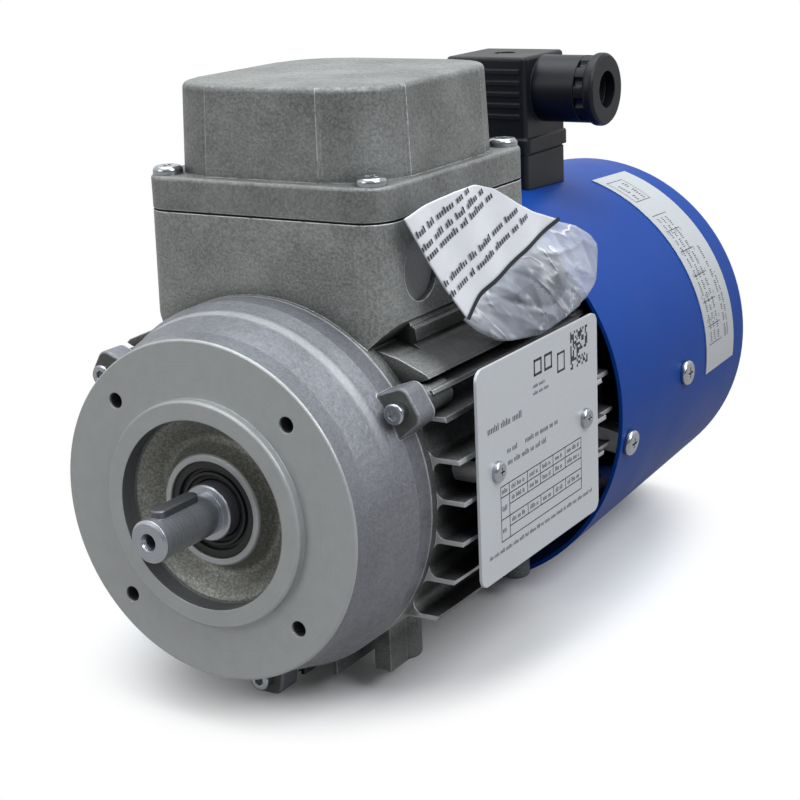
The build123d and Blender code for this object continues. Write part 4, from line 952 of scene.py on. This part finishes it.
class MOTOR_OT_bag(bpy.types.Operator):
    """Lay the accessory bag with its printed header against the terminal box"""

    bl_idname = "motor.bag"
    bl_label = "Accessory bag"

    def execute(self, context):
        settings = context.scene.motor_bag
        rng = np.random.default_rng(SEED + 1)
        count = 72
        edges = (path_points(edge, count) for edge in (FILM_FOOT, FILM_CROWN, FILM_SEAM, FILM_OUTER))
        flat, u, v = coons(*edges)
        s, z = flat[..., 0], flat[..., 1]
        # The two sines of the patch multiplied, raised to a power that fills the pouch out to its seams
        swell = (np.sin(math.pi * u) * np.sin(math.pi * v)) ** 0.45
        film = film_material("Bag film", settings.film, 0.44)
        sides = []
        for side in (1, -1):
            folds = creases(s, z, rng, settings.folds, CREASE_WIDTH, CREASE_SPREAD) * CREASE_DEPTH
            lift = side * swell * FILM_SWELL + folds * np.minimum(1, swell * 1.5)
            sides.append(in_bag(s, z, np.clip(lift, -FILM_REACH, FILM_REACH)))
        points = np.concatenate([side.reshape(-1, 3) for side in sides])
        faces = np.concatenate([grid_faces(count, count), grid_faces(count, count, count * count, True)])
        bag = new_piece("bag_film", points, faces, film)
        weld(bag, 0.02 * MM)
        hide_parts("accessory_bag")

        header_film = plain_material("Header film", settings.header, 0.4, 0.08, 300.0, 0.1)
        edges = (HEADER_NEAR, HEADER_FAR, HEADER_LEFT, HEADER_RIGHT)
        near, far, left, right = (path_points(edge, count) for edge in edges)
        flat = coons(near, far, left, right)[0]
        s, z = flat[..., 0], flat[..., 1]

        def header_lift(s, z):
            """Height over the bag's plane: a base, half a sine along the film and a shallow wave across it."""
            bow = np.sin(math.pi * np.clip((s + 37.3) / 58.7, 0, 1))
            return 0.9 + 0.8 * bow + 0.25 * np.sin(0.35 * s + 0.2 * z)

        lift = header_lift(s, z) + 0.25 * creases(s, z, rng, 12, 1.6)
        header = new_piece("header_film", in_bag(s, z, lift), grid_faces(count, count), header_film)
        solidify = header.modifiers.new("Thickness", "SOLIDIFY")
        solidify.thickness = settings.thickness
        solidify.offset = -1
        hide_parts("bag_header")
        for piece in (bag, header):
            piece.data.polygons.foreach_set("use_smooth", np.ones(len(piece.data.polygons), bool))

        ink_material = plain_material("Header ink", context.scene.motor_prints.ink, 0.45, 0.2)
        corners = []
        for start, stop in HEADER_ROWS:
            run = np.subtract(stop, start)
            width = float(np.hypot(*run))
            boxes = np.array(greek(rng, 0.0, width, 0.0, 2.0, (2, 9)))
            u, v = boxes[:, [0, 2, 2, 0]].ravel(), boxes[:, [1, 1, 3, 3]].ravel()
            cos, sin = run / width
            corners.append(np.stack([start[0] + u * cos - v * sin, start[1] + u * sin + v * cos]))
        s, z = np.concatenate(corners, axis=1)
        points = in_bag(s, z, header_lift(s, z) + 0.35)
        new_piece("header_print", points, np.arange(len(points)).reshape(-1, 4), ink_material)

        run = np.gradient(near, axis=0)
        across = np.stack([-run[:, 1], run[:, 0]], axis=1) / np.linalg.norm(run, axis=1)[:, None]
        band = near[None] + across[None] * np.array([-0.3, 1.0])[:, None, None]
        s, z = band[..., 0], band[..., 1]
        points = in_bag(s, z, header_lift(s, z) + 0.4)
        new_piece("header_band", points, grid_faces(2, count), ink_material)
        return {"FINISHED"}


def weld(piece, distance):
    """Merge the points that lie together and turn every face outwards."""
    work = bmesh.new()
    work.from_mesh(piece.data)
    bmesh.ops.remove_doubles(work, verts=work.verts, dist=distance)
    bmesh.ops.recalc_face_normals(work, faces=work.faces)
    work.to_mesh(piece.data)
    work.free()


# Each lamp: place, size, power and tint
LAMPS = {
    "Key": ((-0.06, 0.16, 1.0), 1.0, 11.3, (0.94, 0.98, 1.0)),
    "Front": ((-0.5, -0.9, 0.55), 0.6, 2.6, (1.0, 1.0, 0.98)),
    "Fill": ((0.75, -0.10, 0.70), 0.5, 6.1, (0.95, 0.97, 1.0)),
}
LAMP_AIM = Vector((0.0, 0.09, 0.0))

# Floor that holds the shadow: middle and reach of its ellipse in x and y, and rings of the disc, in metres
SHADOW_MIDDLE, SHADOW_REACH = (-0.014, 0.122), (0.094, 0.134)
SHADOW_FADE = (0.5, 1.0)
FLOOR_RINGS = (0.0, 0.2, 0.5, 1.2, 3.0)
FLOOR_BOUNCE = (0.10, 0.10, 0.10, 1)


class MOTOR_OT_stage(bpy.types.Operator):
    """Set up the camera, the soft lights and the pale floor"""

    bl_idname = "motor.stage"
    bl_label = "Stage"

    def execute(self, context):
        settings = context.scene.motor_stage
        scene = context.scene
        # Axes of the view from its azimuth and elevation, then turned about the view by the roll
        az, el, roll = settings.azimuth, settings.elevation, settings.roll
        back = Vector((math.sin(az) * math.cos(el), -math.cos(az) * math.cos(el), math.sin(el)))
        right = Vector((math.cos(az), math.sin(az), 0))
        up = back.cross(right)
        turned_right = math.cos(roll) * right + math.sin(roll) * up
        turned_up = -math.sin(roll) * right + math.cos(roll) * up
        camera = bpy.data.objects.new("Camera", bpy.data.cameras.new("Camera"))
        camera.data.lens = settings.lens
        camera.data.sensor_width = 36.0
        camera.data.clip_start = 0.01
        axes = Matrix((turned_right, turned_up, back)).transposed().to_4x4()
        camera.matrix_world = Matrix.Translation(settings.camera) @ axes
        scene.collection.objects.link(camera)
        scene.camera = camera
        scene.view_settings.view_transform = "Standard"
        self.light_scene(scene)
        self.lay_floor(scene, settings)
        return {"FINISHED"}

    def light_scene(self, scene):
        """White for the camera, a dimmer light that grows upwards and backwards, and three soft lamps."""
        world = bpy.data.worlds.new("Studio")
        scene.world = world
        world.use_nodes = True
        tree = world.node_tree
        path = tree.nodes.new("ShaderNodeLightPath").outputs
        way = parts(tree, add(tree, "ShaderNodeTexCoord").outputs["Generated"])
        back = maths(tree, "ADD", times(tree, way[1], 0.5), way[2])
        soft = smooth(tree, back, -0.6, 0.9, 0.13, 0.62)
        aside = maths(tree, "SUBTRACT", back, times(tree, way[0], 0.3))
        glossy = smooth(tree, aside, -0.5, 0.8, 0.2, 1.0)
        dim = mix_value(tree, path["Is Glossy Ray"], soft, glossy)
        seen = maths(tree, "MAXIMUM", path["Is Camera Ray"], path["Is Transmission Ray"])
        strength = maths(tree, "MAXIMUM", seen, dim)
        background = tree.nodes["Background"]
        background.inputs["Color"].default_value = (1, 1, 1, 1)
        tree.links.new(strength, background.inputs["Strength"])
        for name, (place, size, power, tint) in LAMPS.items():
            data = bpy.data.lights.new(name, "AREA")
            data.size = size
            data.energy = power
            data.color = tint
            lamp = bpy.data.objects.new(name, data)
            turn = (LAMP_AIM - Vector(place)).to_track_quat("-Z", "Y")
            lamp.matrix_world = Matrix.Translation(place) @ turn.to_matrix().to_4x4()
            scene.collection.objects.link(lamp)

    def lay_floor(self, scene, settings):
        """Wide disc at the part's lowest point: it holds the shadow in an ellipse and is white further out."""
        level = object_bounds()[0].z
        radius, turn = np.meshgrid(FLOOR_RINGS, np.linspace(0, 2 * math.pi, 49), indexing="ij")
        points = np.stack([radius * np.cos(turn), 0.1 + radius * np.sin(turn), np.full_like(radius, level)],
                          axis=-1)
        mesh = bpy.data.meshes.new("Floor")
        mesh.from_pydata(points.reshape(-1, 3).tolist(), [], grid_faces(*radius.shape).tolist())
        floor = bpy.data.objects.new("Floor", mesh)
        scene.collection.objects.link(floor)
        material, tree, shader = new_material("Floor", Roughness=0.9, Specular_IOR_Level=0.0)
        path = tree.nodes.new("ShaderNodeLightPath").outputs
        seen = maths(tree, "MAXIMUM", path["Is Camera Ray"], path["Is Transmission Ray"])
        seen = maths(tree, "MAXIMUM", seen, times(tree, path["Is Glossy Ray"], 0.6))
        axes = parts(tree, object_place(tree))
        wide, deep = (maths(tree, "DIVIDE", maths(tree, "SUBTRACT", axis, middle), reach)
                      for axis, middle, reach in zip(axes[:2], SHADOW_MIDDLE, SHADOW_REACH))
        away = maths(tree, "ADD", times(tree, wide, wide), times(tree, deep, deep))
        fade = smooth(tree, away, *SHADOW_FADE)
        near = blend(tree, seen, FLOOR_BOUNCE, rgba(settings.floor))
        tree.links.new(blend(tree, fade, near, (0, 0, 0, 1)), shader.inputs["Base Color"])
        shader.inputs["Emission Color"].default_value = (1, 1, 1, 1)
        glow = times(tree, fade, maths(tree, "MAXIMUM", seen, 0.3))
        tree.links.new(glow, shader.inputs["Emission Strength"])
        mesh.materials.append(material)
        floor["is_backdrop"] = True


OPERATORS = (
    MOTOR_OT_castings,
    MOTOR_OT_cowl,
    MOTOR_OT_plastics,
    MOTOR_OT_metals,
    MOTOR_OT_prints,
    MOTOR_OT_bag,
    MOTOR_OT_stage,
)


class MOTOR_PT_panel(bpy.types.Panel):
    """Sidebar list of the motor's operators"""

    bl_idname = "MOTOR_PT_panel"
    bl_label = "Motor"
    bl_space_type = "VIEW_3D"
    bl_region_type = "UI"
    bl_category = "Motor"

    def draw(self, context):
        for operator in OPERATORS:
            self.layout.operator(operator.bl_idname)


def register():
    for name, group in SETTINGS.items():
        bpy.utils.register_class(group)
        setattr(bpy.types.Scene, name, PointerProperty(type=group))
    for cls in (*OPERATORS, MOTOR_PT_panel):
        bpy.utils.register_class(cls)


def unregister():
    for cls in reversed((*OPERATORS, MOTOR_PT_panel)):
        bpy.utils.unregister_class(cls)
    for name, group in SETTINGS.items():
        delattr(bpy.types.Scene, name)
        bpy.utils.unregister_class(group)


def main():
    register()
    bpy.ops.motor.castings()
    bpy.ops.motor.cowl()
    bpy.ops.motor.plastics()
    bpy.ops.motor.metals()
    bpy.ops.motor.prints()
    bpy.ops.motor.bag()
    bpy.ops.motor.stage()


if __name__ == "__main__":
    main()
